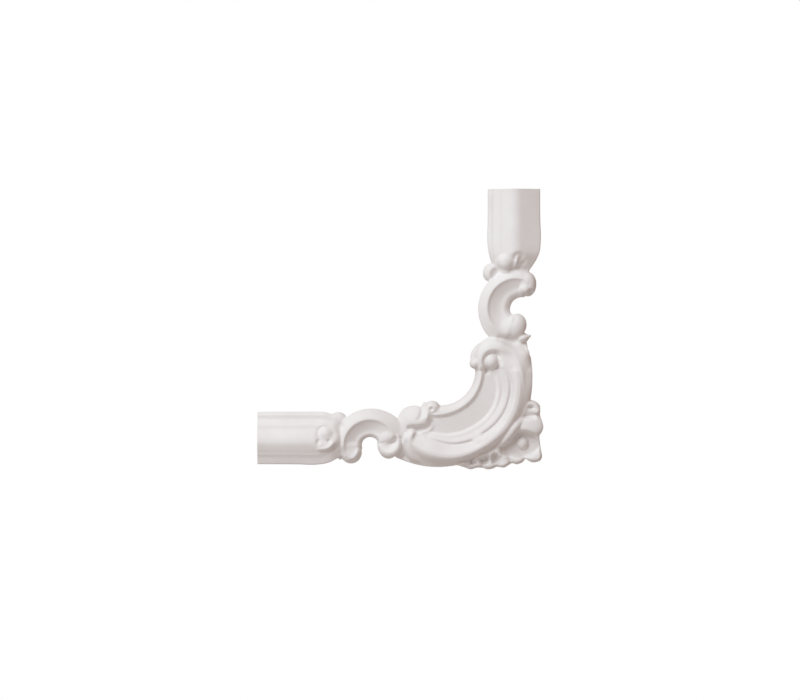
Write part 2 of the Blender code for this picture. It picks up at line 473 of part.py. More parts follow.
def crease(r):
    """A dark fold between the neck and the crescent's band."""
    r.groove([(-15.8, 88.0), (-9.6, 85.1), (-4.4, 82.1), (0.9, 79.9), (6.6, 79.7), (13.6, 81.4)],
             (1.6, 1.9, 2.3, 3.0, 3.8, 4.2), (0.8, 2.2, 4.2, 5.4, 4.8, 3.6), 0.12)


def small_curls(r):
    """Where a scroll leaves the moulding, a little crescent stands at its inner side."""
    r.dome((-20.0, 145.0), (7.0, 8.2), EDGE, 5.6, -12, 2.2, 2.4, True)
    r.hollow((-16.8, 143.8), (4.8, 6.4), 2.4, -20, 0.3)
    r.dome((-153.9, 15.2), (7.8, 7.4), EDGE, 5.6, 0, 2.2, 4.0, True)
    r.hollow((-152.4, 10.5), (5.6, 3.8), 0.7, -20, 0.1)


def relief(u, v):
    """The whole carving: its height at each point, and the distance inside its outline."""
    r = Relief(u, v)
    stops = (140, 147.1, 155.9, 162.9, 169, 176, 190, REACH_UP)
    arm(r, u, v, stops, (14, 17.5, 20.4, 22.0, 22.9, 23.3, 22.9, HALF_WIDTH),
        (9, 13.6, 19.4, 22.3, 23.2, 23.5, 23.0, HALF_WIDTH), 145.0, (138, 163), 0.49, PLAIN_SIDE)
    stops = (145, 150, 156, 161, 166, 172, 190, REACH_LEFT)
    arm(r, -v, -u, stops, (12, 16, 19.8, 21.2, 22.6, 22.9, 22.9, HALF_WIDTH),
        (12, 15, 18.4, 21.0, 22.4, 23.2, 23.0, HALF_WIDTH), 150.0, (141, 161), 0.57, LINED_SIDE)
    upright_bud(r)
    level_bud(r)
    # the scrolls rest on low bases where they meet their neighbours
    r.dome((-4.4, 87.6), (17.0, 8.0), EDGE, 4.0, 0, 3.0, 1.0, True)
    r.dome((-100.7, 0.0), (7.5, 17.0), EDGE, 2.0, 0, 3.0, 1.0, True)
    r.dome((-2.6, 145.4), (15.5, 8.0), EDGE, 4.0, 0, 3.0, 1.0, True)
    r.dome((-152.4, 0.9), (6.0, 19.0), EDGE, 4.0, 0, 3.0, 1.0, True)
    upright_scroll(r)
    level_scroll(r)
    small_curls(r)
    rocaille(r)
    neck(r)
    cartouche(r)
    top_volute(r)
    crease(r)
    left_volute(r)
    return r.height, r.inside


def front_grid():
    """A grid over the whole corner, lifted to the carving, with each point's distance inside the outline."""
    columns = round((REACH_LEFT + REACH_RIGHT) / STEP)
    rows = round((REACH_UP + REACH_DOWN) / STEP)
    u, v = np.meshgrid(np.linspace(-REACH_LEFT, REACH_RIGHT, columns + 1),
                       np.linspace(-REACH_DOWN, REACH_UP, rows + 1))
    height, inside = relief(u, v)
    height = np.maximum(height, THINNEST)
    bm = bmesh.new()
    bmesh.ops.create_grid(bm, x_segments=columns, y_segments=rows, size=0.5)
    within = {}
    for vert in bm.verts:
        i = round((vert.co.x + 0.5) * columns)
        j = round((vert.co.y + 0.5) * rows)
        vert.co = (u[j, i] / 1000, -height[j, i] / 1000, v[j, i] / 1000)
        within[vert] = inside[j, i]
    return bm, within


def cut_outline(bm, within):
    """Cuts the grid along the outline and drops what lies beyond it."""
    crossing = [edge for edge in bm.edges if (within[edge.verts[0]] > 0) != (within[edge.verts[1]] > 0)]
    cuts = []
    for edge in crossing:
        first, second = edge.verts
        share = within[first] / (within[first] - within[second])
        share = min(max(share, NEAREST), 1 - NEAREST)
        _, cut = bmesh.utils.edge_split(edge, first, share)
        cut.co.y = min(cut.co.y, -THINNEST / 1000)
        cuts.append(cut)
    bmesh.ops.connect_verts(bm, verts=cuts)
    beyond = [vert for vert, distance in within.items() if distance <= 0]
    bmesh.ops.delete(bm, geom=beyond, context="VERTS")


def drop_scraps(bm):
    """Keeps the largest piece of the sheet."""
    left = set(bm.faces)
    largest = set()
    while left:
        piece, reached = set(), [left.pop()]
        while reached:
            face = reached.pop()
            piece.add(face)
            for edge in face.edges:
                for other in edge.link_faces:
                    if other in left:
                        left.discard(other)
                        reached.append(other)
        if len(piece) > len(largest):
            largest = piece
    scraps = [face for face in bm.faces if face not in largest]
    bmesh.ops.delete(bm, geom=scraps, context="FACES")


def thinned(bm):
    """The sheet with fewer facets where it is flat."""
    bmesh.ops.triangulate(bm, faces=bm.faces)
    mesh = bpy.data.meshes.new("front_fine")
    bm.to_mesh(mesh)
    bm.free()
    fine = bpy.data.objects.new("front_fine", mesh)
    bpy.context.scene.collection.objects.link(fine)
    thin = fine.modifiers.new("thin", "DECIMATE")
    thin.ratio = KEPT / len(mesh.polygons)
    bpy.context.view_layer.update()
    graph = bpy.context.evaluated_depsgraph_get()
    result = bpy.data.meshes.new_from_object(fine.evaluated_get(graph))
    bpy.data.objects.remove(fine)
    return result


def close_back(bm):
    """Walls run straight back from the sheet's rim to the wall plane, and a flat face closes them."""
    for vert in bm.verts:
        if abs(vert.co.x * 1000 + REACH_LEFT) < SNAP:
            vert.co.x = -REACH_LEFT / 1000
        if abs(vert.co.z * 1000 - REACH_UP) < SNAP:
            vert.co.z = REACH_UP / 1000
    rim = [edge for edge in bm.edges if edge.is_boundary]
    made = bmesh.ops.extrude_edge_only(bm, edges=rim)["geom"]
    for vert in made:
        if isinstance(vert, bmesh.types.BMVert):
            vert.co.y = 0.0
    behind = [edge for edge in made if isinstance(edge, bmesh.types.BMEdge) and edge.is_boundary]
    bmesh.ops.triangle_fill(bm, use_beauty=True, use_dissolve=False, edges=behind)
    bmesh.ops.recalc_face_normals(bm, faces=bm.faces)


def material():
    """Off-white moulded polyurethane, matt as it leaves the mould."""
    cast = bpy.data.materials.new(NAME)
    cast.use_nodes = True
    shader = cast.node_tree.nodes["Principled BSDF"]
    shader.inputs["Base Color"].default_value = COLOUR
    shader.inputs["Roughness"].default_value = ROUGHNESS
    shader.inputs["Metallic"].default_value = 0.0
    return cast


def main():
    for obj in list(bpy.data.objects):
        bpy.data.objects.remove(obj, do_unlink=True)
    collection = bpy.data.collections.new("panel_moulding_corner")
    bpy.context.scene.collection.children.link(collection)

    bm, within = front_grid()
    cut_outline(bm, within)
    drop_scraps(bm)
    mesh = thinned(bm)
    bm = bmesh.new()
    bm.from_mesh(mesh)
    close_back(bm)
    bm.to_mesh(mesh)
    bm.free()

    mesh.name = NAME
    mesh.materials.clear()
    mesh.materials.append(material())
    mesh.shade_smooth()
    mesh.set_sharp_from_angle(angle=math.radians(40))
    collection.objects.link(bpy.data.objects.new(NAME, mesh))


main()
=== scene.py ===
"""The corner moulding as it looks: finely carved off-white foam, softly lit from the upper left."""
import math

import bmesh
import bpy
import numpy as np
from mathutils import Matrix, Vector


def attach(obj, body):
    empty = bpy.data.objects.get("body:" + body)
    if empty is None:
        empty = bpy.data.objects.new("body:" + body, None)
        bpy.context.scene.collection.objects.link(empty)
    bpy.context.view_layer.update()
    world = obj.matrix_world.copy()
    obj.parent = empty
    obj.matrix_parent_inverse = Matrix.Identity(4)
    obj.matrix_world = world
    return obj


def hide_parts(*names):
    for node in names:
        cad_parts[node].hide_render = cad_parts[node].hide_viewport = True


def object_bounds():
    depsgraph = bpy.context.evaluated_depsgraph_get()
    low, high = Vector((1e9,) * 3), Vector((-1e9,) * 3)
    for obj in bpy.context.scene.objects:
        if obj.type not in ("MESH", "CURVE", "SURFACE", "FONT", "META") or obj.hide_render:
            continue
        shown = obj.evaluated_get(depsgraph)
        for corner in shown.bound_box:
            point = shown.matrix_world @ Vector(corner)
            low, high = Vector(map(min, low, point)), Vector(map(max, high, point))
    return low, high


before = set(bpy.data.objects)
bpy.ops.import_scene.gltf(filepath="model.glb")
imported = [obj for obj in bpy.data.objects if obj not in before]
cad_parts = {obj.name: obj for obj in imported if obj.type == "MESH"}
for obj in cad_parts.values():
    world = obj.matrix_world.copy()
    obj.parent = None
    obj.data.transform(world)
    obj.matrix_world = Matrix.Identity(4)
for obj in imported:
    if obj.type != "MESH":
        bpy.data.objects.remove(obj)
CAD_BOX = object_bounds()

# driving sizes in millimetres: u runs right and v up from the crossing of the arms' centre lines
HALF_WIDTH = 22.8       # half the moulding's width
REACH_UP = 218.0        # cut end of the upright arm above the origin
REACH_LEFT = 224.6      # cut end of the level arm left of the origin
REACH_RIGHT = 27.0      # how far the carving may spread right of the origin
REACH_DOWN = 29.0       # and below it
EDGE = 5.0              # height of the carving at its outline
THINNEST = 3.8          # least height of the casting anywhere
ARM_FOOT = 5.5          # height of an arm at the tip of its shoulder
DRAFT = 2.6             # fall of a form's side for each millimetre past its outline
PLACE_BLUR = 0.35       # how far neighbouring stretches of a path share their place along it
FAR_APART = 16          # stretches of a path this many apart do not share their places
OPEN_HEIGHT = -20.0     # height where no form stands yet
FAR_OUTSIDE = -99.0     # and the distance inside the outline there
FRINGE = 9.0            # how far past its own reach a form is worked out
LEAST_SPAN = 0.05       # least distance reckoned between two rings of a moulding
ROLL_REACH = 1.15       # a turned edge ends at this share of its ellipse
ROLL_FADE = 0.3         # and fades in over this share of it
CRESCENT_CENTRE = (-64.8, 59.5)     # middle of the crescent's rings
MM = 1000               # millimetres in a metre

# the fine surface
STEP = 0.5              # spacing of the grid that the carving is read on
SOFTEN = 0.55           # how far the mould rounds every edge of the carving
RIM = 1.1               # radius of the front's outer edge
NEAREST = 0.08          # a cut along an edge keeps this share of it from either end
SNAP = 0.02             # points this near a cut end lie in it
KEPT_OUTSIDE = 3        # grid points this many steps outside the outline stay until it is cut
RIM_LEAN = 0.7          # a rim point's height is this much its own, the rest its inner neighbour's

# the picture, in pixels, and the pixel at the origin
PICTURE = (800, 700)
ORIGIN_PIXEL = (514.0, 438.0)
PIXELS_PER_MM = 1.142
CAMERA_DISTANCE = 4.0
VIEW_END = 30.0
SENSOR = 36.0
MIDDLE_DEPTH = 0.009    # how far in front of the wall plane the picture's scale holds, in metres

# the studio
FLOOR_LEVEL = -0.9
FLOOR_MIDDLE = -2.1
FLOOR_SIZE = (12.0, 12.0, 1.0)
FLOOR_COLOUR = (0.78, 0.77, 0.76)
FLOOR_ROUGHNESS = 0.8
LIT_POINT = (-0.08, 0.0, 0.08)
LIGHT_ABOVE = (0.46, 0.365, 0.325)
LIGHT_BELOW = (0.345, 0.275, 0.245)
KEY_DIRECTION = (-0.42, -0.69, 0.59)
KEY_DISTANCE = 2.0
KEY_SIZE = 1.5
KEY_IRRADIANCE = 2.72
KEY_COLOUR = (0.815, 0.932, 1.0)

# the foam's skin: colours, gloss and fine relief, which has a strength and a depth in metres
FOAM_DARK = (0.785, 0.752, 0.735, 1.0)
FOAM_LIGHT = (0.825, 0.800, 0.788, 1.0)
MOTTLE_SCALE = 34.0
MOTTLE_SPAN = (0.32, 0.68)
SHEEN_SCALE = 210.0
ROUGHNESS = (0.52, 0.68)
SPECULAR = 0.32
RIPPLE_SCALE = 260.0
RIPPLE = (0.35, 0.00012)
GRAIN_SCALE = 1500.0
GRAIN = (0.45, 0.00004)
PIT_SCALE = 420.0
PIT_SPAN = (0.02, 0.09)
PIT = (0.5, 0.00008)


def ease(x, low, high):
    """Rises smoothly from 0 at low to 1 at high."""
    t = np.clip((x - low) / (high - low), 0, 1)
    return t * t * (3 - 2 * t)


def smooth_max(a, b, soft=1.0):
    """The larger of two values, with a soft fillet where they meet."""
    k = np.clip(0.5 + 0.5 * (a - b) / soft, 0, 1)
    return b + (a - b) * k + soft * k * (1 - k)


def curve(x, knots, values):
    """A smooth curve through the values, flat beyond its ends."""
    knots, values = np.asarray(knots, float), np.asarray(values, float)
    slopes = np.gradient(values, knots)
    x = np.clip(x, knots[0], knots[-1])
    i = np.clip(np.searchsorted(knots, x, side="right") - 1, 0, len(knots) - 2)
    span = knots[i + 1] - knots[i]
    t = (x - knots[i]) / span
    a, b = values[i], values[i + 1]
    m, n = slopes[i] * span, slopes[i + 1] * span
    return ((2 * t ** 3 - 3 * t ** 2 + 1) * a + (t ** 3 - 2 * t ** 2 + t) * m
            + (3 * t ** 2 - 2 * t ** 3) * b + (t ** 3 - t ** 2) * n)


def spline(points, per_span=8):
    """A Catmull-Rom curve through the points."""
    p = np.asarray(points, float)
    p = np.vstack([2 * p[0] - p[1], p, 2 * p[-1] - p[-2]])
    out = []
    for a, b, c, d in zip(p[:-3], p[1:-2], p[2:-1], p[3:]):
        for t in np.arange(per_span) / per_span:
            out.append(0.5 * (2 * b + (c - a) * t + (2 * a - 5 * b + 4 * c - d) * t ** 2
                              + (3 * b - a - 3 * c + d) * t ** 3))
    out.append(p[-2])
    return np.array(out)


def trace(path, u, v):
    """Distance to the left of the path, and the place along it from 0 to 1, even by its points."""
    best = np.full(u.shape, np.inf)
    nearest = np.zeros(u.shape)
    across = np.zeros(u.shape)
    weight = np.zeros(u.shape)
    place = np.zeros(u.shape)
    for i, ((x0, y0), (x1, y1)) in enumerate(zip(path[:-1], path[1:])):
        dx, dy = x1 - x0, y1 - y0
        t = np.clip(((u - x0) * dx + (v - y0) * dy) / (dx * dx + dy * dy), 0, 1)
        ex, ey = u - x0 - t * dx, v - y0 - t * dy
        gap = np.hypot(ex, ey)
        near = gap < best
        across = np.where(near, np.where(dx * ey - dy * ex >= 0, gap, -gap), across)
        # nearby stretches share the place along the path, so that it changes smoothly
        lead = np.exp(-np.abs(gap - best) / PLACE_BLUR) * (i - nearest < FAR_APART)
        weight = np.where(near, weight * lead + 1, weight + lead)
        place = np.where(near, place * lead + i + t, place + lead * (i + t))
        best = np.minimum(best, gap)
        nearest = np.where(near, i, nearest)
    return across, place / weight / (len(path) - 1)


def steps(along, values):
    """Values at even steps along a path."""
    if np.isscalar(values):
        return np.full(along.shape, float(values))
    return curve(along, np.linspace(0, 1, len(values)), values)


def layered(x, rings, heights):
    """The height at x, between rings that may vary from place to place."""
    top = heights[0]
    for low, high, h0, h1 in zip(rings[:-1], rings[1:], heights[:-1], heights[1:]):
        t = np.clip((x - low) / np.maximum(high - low, LEAST_SPAN), 0, 1)
        top = np.where(x > low, h0 + (h1 - h0) * t, top)
    return top


class Relief:
    """The height of the carving over the wall plane, and the distance inside its outline."""

    def __init__(self, u, v):
        self.u, self.v = u, v
        self.height = np.full(u.shape, OPEN_HEIGHT)
        self.inside = np.full(u.shape, FAR_OUTSIDE)

    def near(self, points, reach):
        """The part of the grid within reach of the points, as a relief that shares its heights."""
        points = np.asarray(points, float)
        low, high = points.min(0) - reach - FRINGE, points.max(0) + reach + FRINGE
        x, y = self.u[0], self.v[:, 0]
        cols = slice(np.searchsorted(x, low[0]), np.searchsorted(x, high[0]))
        rows = slice(np.searchsorted(y, low[1]), np.searchsorted(y, high[1]))
        part = Relief.__new__(Relief)
        part.u, part.v = self.u[rows, cols], self.v[rows, cols]
        part.height, part.inside = self.height[rows, cols], self.inside[rows, cols]
        return part

    def add(self, top, inside, soft=0.8, outline=True, draft=DRAFT):
        """Joins a form to the carving; one with an outline of its own widens the casting too."""
        top = top - draft * np.clip(-inside, 0, None)
        self.height[...] = smooth_max(self.height, top, soft)
        if outline:
            self.inside[...] = smooth_max(self.inside, inside, 1.0)

    def ellipse(self, centre, radii, turn):
        """The distance from the centre of a turned ellipse, 1 on the ellipse itself."""
        c, s = math.cos(math.radians(turn)), math.sin(math.radians(turn))
        x, y = self.u - centre[0], self.v - centre[1]
        return np.hypot((x * c + y * s) / radii[0], (y * c - x * s) / radii[1])

    def dome(self, centre, radii, base, rise, turn=0, power=2.0, soft=0.8, outline=False, draft=DRAFT):
        """A rounded mound; a higher power makes its top flatter and its side steeper."""
        part = self.near([centre], max(radii))
        r = part.ellipse(centre, radii, turn)
        top = base + rise * np.sqrt(np.clip(1 - r ** power, 0, 1))
        part.add(top, (1 - r) * min(radii), soft, outline, draft)

    def hollow(self, centre, radii, depth, turn=0, flat=0.2):
        """A dish sunk into whatever is there, level over the flat share of its radii."""
        part = self.near([centre], max(radii))
        r = part.ellipse(centre, radii, turn)
        part.height -= depth * (1 - ease(r, flat, 1.0))

    def roll(self, centre, radii, reach, low):
        """Round a centre, turns the outline's edge over, down to a low height."""
        near = np.clip(self.inside / reach, 0, 1)
        turned = low + (self.height - low) * np.sqrt(near * (2 - near))
        share = ease(ROLL_REACH - self.ellipse(centre, radii, 0), 0, ROLL_FADE)
        self.height = self.height + (np.minimum(self.height, turned) - self.height) * share

    def groove(self, points, half, depth, ends=0.15):
        """A rounded furrow along the points, fading out over the end shares of its length."""
        part = self.near(points, 3 * np.max(half))
        across, along = trace(spline(points), part.u, part.v)
        fade = ease(along, 0, ends) * ease(1 - along, 0, ends) if ends else 1.0
        part.height -= steps(along, depth) * fade * np.exp(-((across / steps(along, half)) ** 2))

    def ridge(self, points, half, rise, ends=0.2):
        """A rounded ridge standing on whatever is there."""
        part = self.near(points, 3 * np.max(half))
        across, along = trace(spline(points), part.u, part.v)
        fade = ease(along, 0, ends) * ease(1 - along, 0, ends)
        part.height += steps(along, rise) * fade * np.exp(-((across / steps(along, half)) ** 2))

    def band(self, points, half, base, rise, soft=0.8, outline=False, power=2.0):
        """A rounded band; half, base and rise are values at even steps along it."""
        part = self.near(points, np.max(half))
        across, along = trace(spline(points), part.u, part.v)
        w = steps(along, half)
        x = np.clip(np.abs(across) / w, 0, 1)
        top = steps(along, base) + steps(along, rise) * np.sqrt(np.clip(1 - x ** power, 0, 1))
        part.add(top, w - np.abs(across), soft, outline)

    def loft(self, points, rings, heights, soft=0.8, outline=False):
        """A moulded band: rings are distances to the left of the path, each with its height."""
        part = self.near(points, max(np.max(np.abs(ring)) for ring in rings))
        across, along = trace(spline(points), part.u, part.v)
        rings = [steps(along, ring) for ring in rings]
        heights = [steps(along, height) for height in heights]
        top = layered(across, rings, heights)
        inside = np.minimum(across - rings[0], rings[-1] - across)
        part.add(top, inside, soft, outline)

    def sheet(self, points, top, slope, reach, soft=0.8):
        """A piece inside a closed outline that runs clockwise, rising from its rim."""
        part = self.near(points, 0)
        across, _ = trace(spline(list(points) + [points[0]]), part.u, part.v)
        part.add(top + slope * np.clip(-across, 0, reach), -across, soft, True)

    def shell(self, centre, axis, side, degrees, radii, heights, ends, soft=0.8, faded=None):
        """A curved band in polar form: each ring's radius at the degrees, and its height."""
        part = self.near([centre], np.max(radii))
        x, y = part.u - centre[0], part.v - centre[1]
        p, q = x * axis[0] + y * axis[1], x * side[0] + y * side[1]
        far = np.hypot(p, q)
        turn = np.degrees(np.arctan2(q, p))
        rings = [curve(turn, degrees, ring) for ring in radii]
        levels = [curve(turn, degrees, level) if np.ndim(level) else np.full(far.shape, float(level))
                  for level in heights]
        top = layered(far, rings, levels)
        rest = np.minimum(turn - ends[0], ends[1] - turn)
        if faded:
            full = ease(turn - ends[0], 0, faded[0]) * ease(ends[1] - turn, 0, faded[1])
            top = top - EDGE * (1 - full)
        inside = np.minimum(far - rings[0], rings[-1] - far)
        part.add(top, np.minimum(inside, rest * np.radians(1) * far), soft, True)


# the moulding's section: places from inner edge (0) by crest (1) to outer edge (2), each with its height
INNER_SIDE = ((0.0, 9.4), (0.04, 10.1), (0.08, 10.8), (0.12, 11.1), (0.16, 11.15), (0.20, 11.15),
              (0.25, 11.4), (0.31, 12.2), (0.37, 13.2), (0.43, 14.2), (0.47, 14.6), (0.51, 14.75),
              (0.55, 14.95), (0.61, 15.55), (0.69, 16.6), (0.77, 17.7), (0.85, 18.6), (0.92, 19.1),
              (1.0, 19.45))
PLAIN_SIDE = ((1.06, 19.5), (1.12, 19.45), (1.18, 19.2), (1.24, 18.8), (1.30, 18.25), (1.50, 16.3),
              (1.70, 14.35), (1.90, 12.4), (2.0, 11.4))
LINED_SIDE = ((1.05, 19.48), (1.09, 19.42), (1.13, 19.25), (1.18, 19.0), (1.22, 18.75), (1.27, 18.4),
              (1.33, 17.95), (1.40, 17.4), (1.45, 16.85), (1.50, 16.45), (1.555, 16.1), (1.59, 15.7),
              (1.63, 15.2), (1.68, 14.65), (1.75, 14.05), (1.84, 13.4), (1.92, 12.85), (2.0, 12.3))


def arm(r, s, a, stops, inner, outer, tip, sunk, crest, outer_side):
    """The straight moulding, from its cut end down to its rounded shoulder."""
    low = -curve(a, stops, inner)
    high = curve(a, stops, outer)
    x = (s - low) / (high - low)
    share = np.where(x < crest, x / crest, 1 + (x - crest) / (1 - crest))
    knots, levels = zip(*(INNER_SIDE + outer_side))
    top = curve(share, knots, levels)
    sink = ease(a, *sunk)
    top = ARM_FOOT + (top - ARM_FOOT) * sink - (ARM_FOOT - EDGE) * ease(-x, -0.04, 0)
    inside = np.minimum(np.minimum(s - low, high - s), a - tip)
    r.add(top, inside, 0.6)


def upright_bud(r):
    """A ball on a stalk, and a leaf in a pocket beside it."""
    r.hollow((3.9, 158.7), (6.8, 5.6), 1.6, 0, 0.35)
    r.dome((-7.5, 154.8), (7.0, 7.4), 11.8, 5.8, soft=2.6)
    r.dome((-6.6, 148.0), (5.4, 6.0), 8.5, 4.5, soft=2.5)
    r.groove([(11.4, 158.1), (8.3, 153.7), (4.2, 149.9), (0.0, 147.1), (-4.8, 146.0)], 1.8,
             (0.4, 1.2, 2.0, 2.8, 1.6), 0.1)
    r.ridge([(3.3, 160.4), (2.5, 155.9), (1.1, 151.5), (-1.4, 148.3)], (1.0, 1.3, 1.2, 1.0),
            (1.2, 1.9, 1.8, 1.0))


def level_bud(r):
    """The same on the level arm, with the leaf curled round below the ball."""
    r.hollow((-164.6, 2.6), (11.0, 10.0), 1.6, 0, 0.5)
    r.dome((-165.0, 3.3), (7.0, 6.8), 11.6, 6.8, soft=2.0)
    r.dome((-159.4, 6.1), (6.0, 6.0), 9.0, 5.0, soft=2.5)
    r.hollow((-171.3, -3.5), (3.2, 3.6), 1.7, 0, 0.1)
    r.hollow((-162.0, -2.8), (2.4, 2.4), 1.8, 0, 0.1)
    r.ridge([(-173.7, -9.1), (-169.0, -9.6), (-164.2, -9.1), (-159.8, -6.5), (-157.1, -1.8)],
            (1.1, 1.6, 1.9, 1.7, 1.2), (0.6, 1.5, 1.9, 1.7, 0.8))
    r.groove([(-169.9, -13.3), (-163.3, -13.0), (-158.1, -10.5), (-154.1, -5.7)], 2.2,
             (0.3, 0.8, 1.8, 2.4), 0.15)


# a scroll's lip: shares of the way from the notch to the channel, each with its fall below the floor
SCROLL_LIP = ((0.0, 4.4), (0.25, 2.6), (0.55, 1.2), (0.8, 0.4))
# its channel: shares of the way from foot to shoulder, each with its share of the depth
SCROLL_CHANNEL = ((0.0, 1.0), (0.12, 1.0), (0.25, 0.98), (0.40, 0.88), (0.55, 0.74), (0.70, 0.58),
                  (0.84, 0.42), (0.93, 0.28), (1.0, 0.04))
# its outer band: shares of the way from shoulder to outline, each with its share of the fall
SCROLL_BAND = ((0.12, 0.02), (0.30, 0.09), (0.50, 0.20), (0.70, 0.32), (0.90, 0.45), (1.0, 0.54))


def scroll(r, centre, axis, side, degrees, notch, inner, channel, outer, ends, floor, crest,
           faded=(14, 14)):
    """A C-shaped band: a lip at the notch, a channel that deepens towards it and a broad outer rim."""
    rings, levels = [], []
    for share, low in SCROLL_LIP:
        rings.append([a + share * (b - a) for a, b in zip(notch, inner)])
        levels.append([f - low for f in floor])
    for share, depth in SCROLL_CHANNEL:
        rings.append([a + share * (b - a) for a, b in zip(inner, channel)])
        levels.append([c - depth * (c - f) for f, c in zip(floor, crest)])
    for share, fall in SCROLL_BAND:
        rings.append([a + share * (b - a) for a, b in zip(channel, outer)])
        levels.append([c - fall * (c - EDGE) for c in crest])
    r.shell(centre, axis, side, degrees, rings, levels, ends, 0.8, faded)


def upright_scroll(r):
    """The scroll between the upright arm and the crescent, open to the right."""
    degrees = (-80, -50, -20, 20, 60, 85, 110, 125)
    notch = (6.7, 6.6, 5.8, 5.2, 6.2, 7.6, 9.8, 11.5)
    inner = (10.6, 11.4, 11.2, 11.0, 12.2, 13.6, 16.2, 17.5)
    channel = (22.4, 24.4, 25.0, 25.0, 25.2, 25.4, 24.6, 22.6)
    outer = (30.5, 34.4, 33.6, 33.0, 33.4, 34.0, 32.6, 28.6)
    floor = (12.0, 11.2, 10.0, 9.4, 9.2, 9.2, 9.8, 11.0)
    crest = (12.8, 13.8, 14.6, 14.6, 14.6, 14.4, 13.8, 13.2)
    scroll(r, (2.0, 114.0), (-1, 0), (0, 1), degrees, notch, inner, channel, outer, (-84, 127),
           floor, crest)
    # far end: the band curls over into an eye
    r.dome((12.3, 134.7), (7.3, 10.6), 5.4, 8.2, power=2.6, soft=2.6, outline=True)
    r.hollow((14.4, 127.8), (3.6, 3.2), 3.4, 0, 0.2)
    r.dome((9.6, 130.5), (4.6, 4.2), 9.0, 4.8, soft=2.4)
    # near end: a smooth knob
    r.dome((-1.8, 96.7), (12.4, 9.0), 5.4, 6.6, 10, 2.2, 5.0, True, 0.9)
    r.dome((-1.4, 94.2), (10.4, 7.6), 6.4, 6.4, 0, 2.0, 4.0)
    r.dome((2.6, 99.6), (8.4, 9.4), 6.4, 7.2, 0, 1.5, 5.0, True)


def level_scroll(r):
    """The scroll between the level arm and the crescent, open below."""
    degrees = (-80, -50, -20, 20, 60, 85, 110)
    notch = (7.4, 7.1, 6.8, 6.8, 7.1, 7.2, 7.4)
    inner = (10.4, 10.2, 9.8, 9.8, 10.6, 11.4, 12.0)
    channel = (20.4, 21.6, 21.8, 21.8, 22.4, 22.8, 22.6)
    outer = (31.0, 33.0, 32.0, 31.5, 31.4, 30.6, 29.6)
    floor = (11.8, 10.6, 9.2, 8.8, 8.6, 8.8, 9.8)
    crest = (12.8, 13.8, 14.6, 14.6, 14.6, 14.4, 13.8)
    scroll(r, (-126.0, -6.0), (0, 1), (-1, 0), degrees, notch, inner, channel, outer, (-86, 116),
           floor, crest, (14, 26))
    # far end: a foot with a low rim round its tip
    r.dome((-142.7, -12.6), (9.4, 9.8), 4.6, 6.4, 0, 2.0, 5.0, True)
    r.hollow((-141.9, -21.0), (6.0, 3.2), 1.6)
    r.ridge([(-145.4, -19.7), (-140.5, -17.2), (-137.1, -12.8), (-136.3, -7.0)], 2.0,
            (0.2, 1.4, 1.8, 0.4))
    # near end: a volute with a crescent rim
    r.dome((-109.9, -4.4), (9.9, 13.8), 5.0, 6.4, 0, 2.4, 2.0, True)
    r.dome((-110.3, 0.9), (6.6, 6.0), 7.2, 5.2, 0, 1.4, 3.6)
    r.band([(-116.8, -7.0), (-113.3, -11.4), (-108.1, -12.8), (-103.2, -9.8), (-101.1, -4.0),
            (-101.9, 1.8)], (2.4, 4.0, 4.8, 4.4, 3.2, 2.0), (7.4, 8.0, 8.2, 8.2, 8.2, 9.0),
            (2.6, 4.4, 5.4, 5.2, 4.4, 3.0), 2.8, False, 1.5)
    r.groove([(-105.3, 2.6), (-104.0, -0.5), (-105.3, -3.7), (-108.9, -5.3), (-113.0, -4.7)],
             (1.3, 1.6, 1.6, 1.5, 1.2), (0.4, 2.0, 2.4, 1.2, 0.3), 0.15)


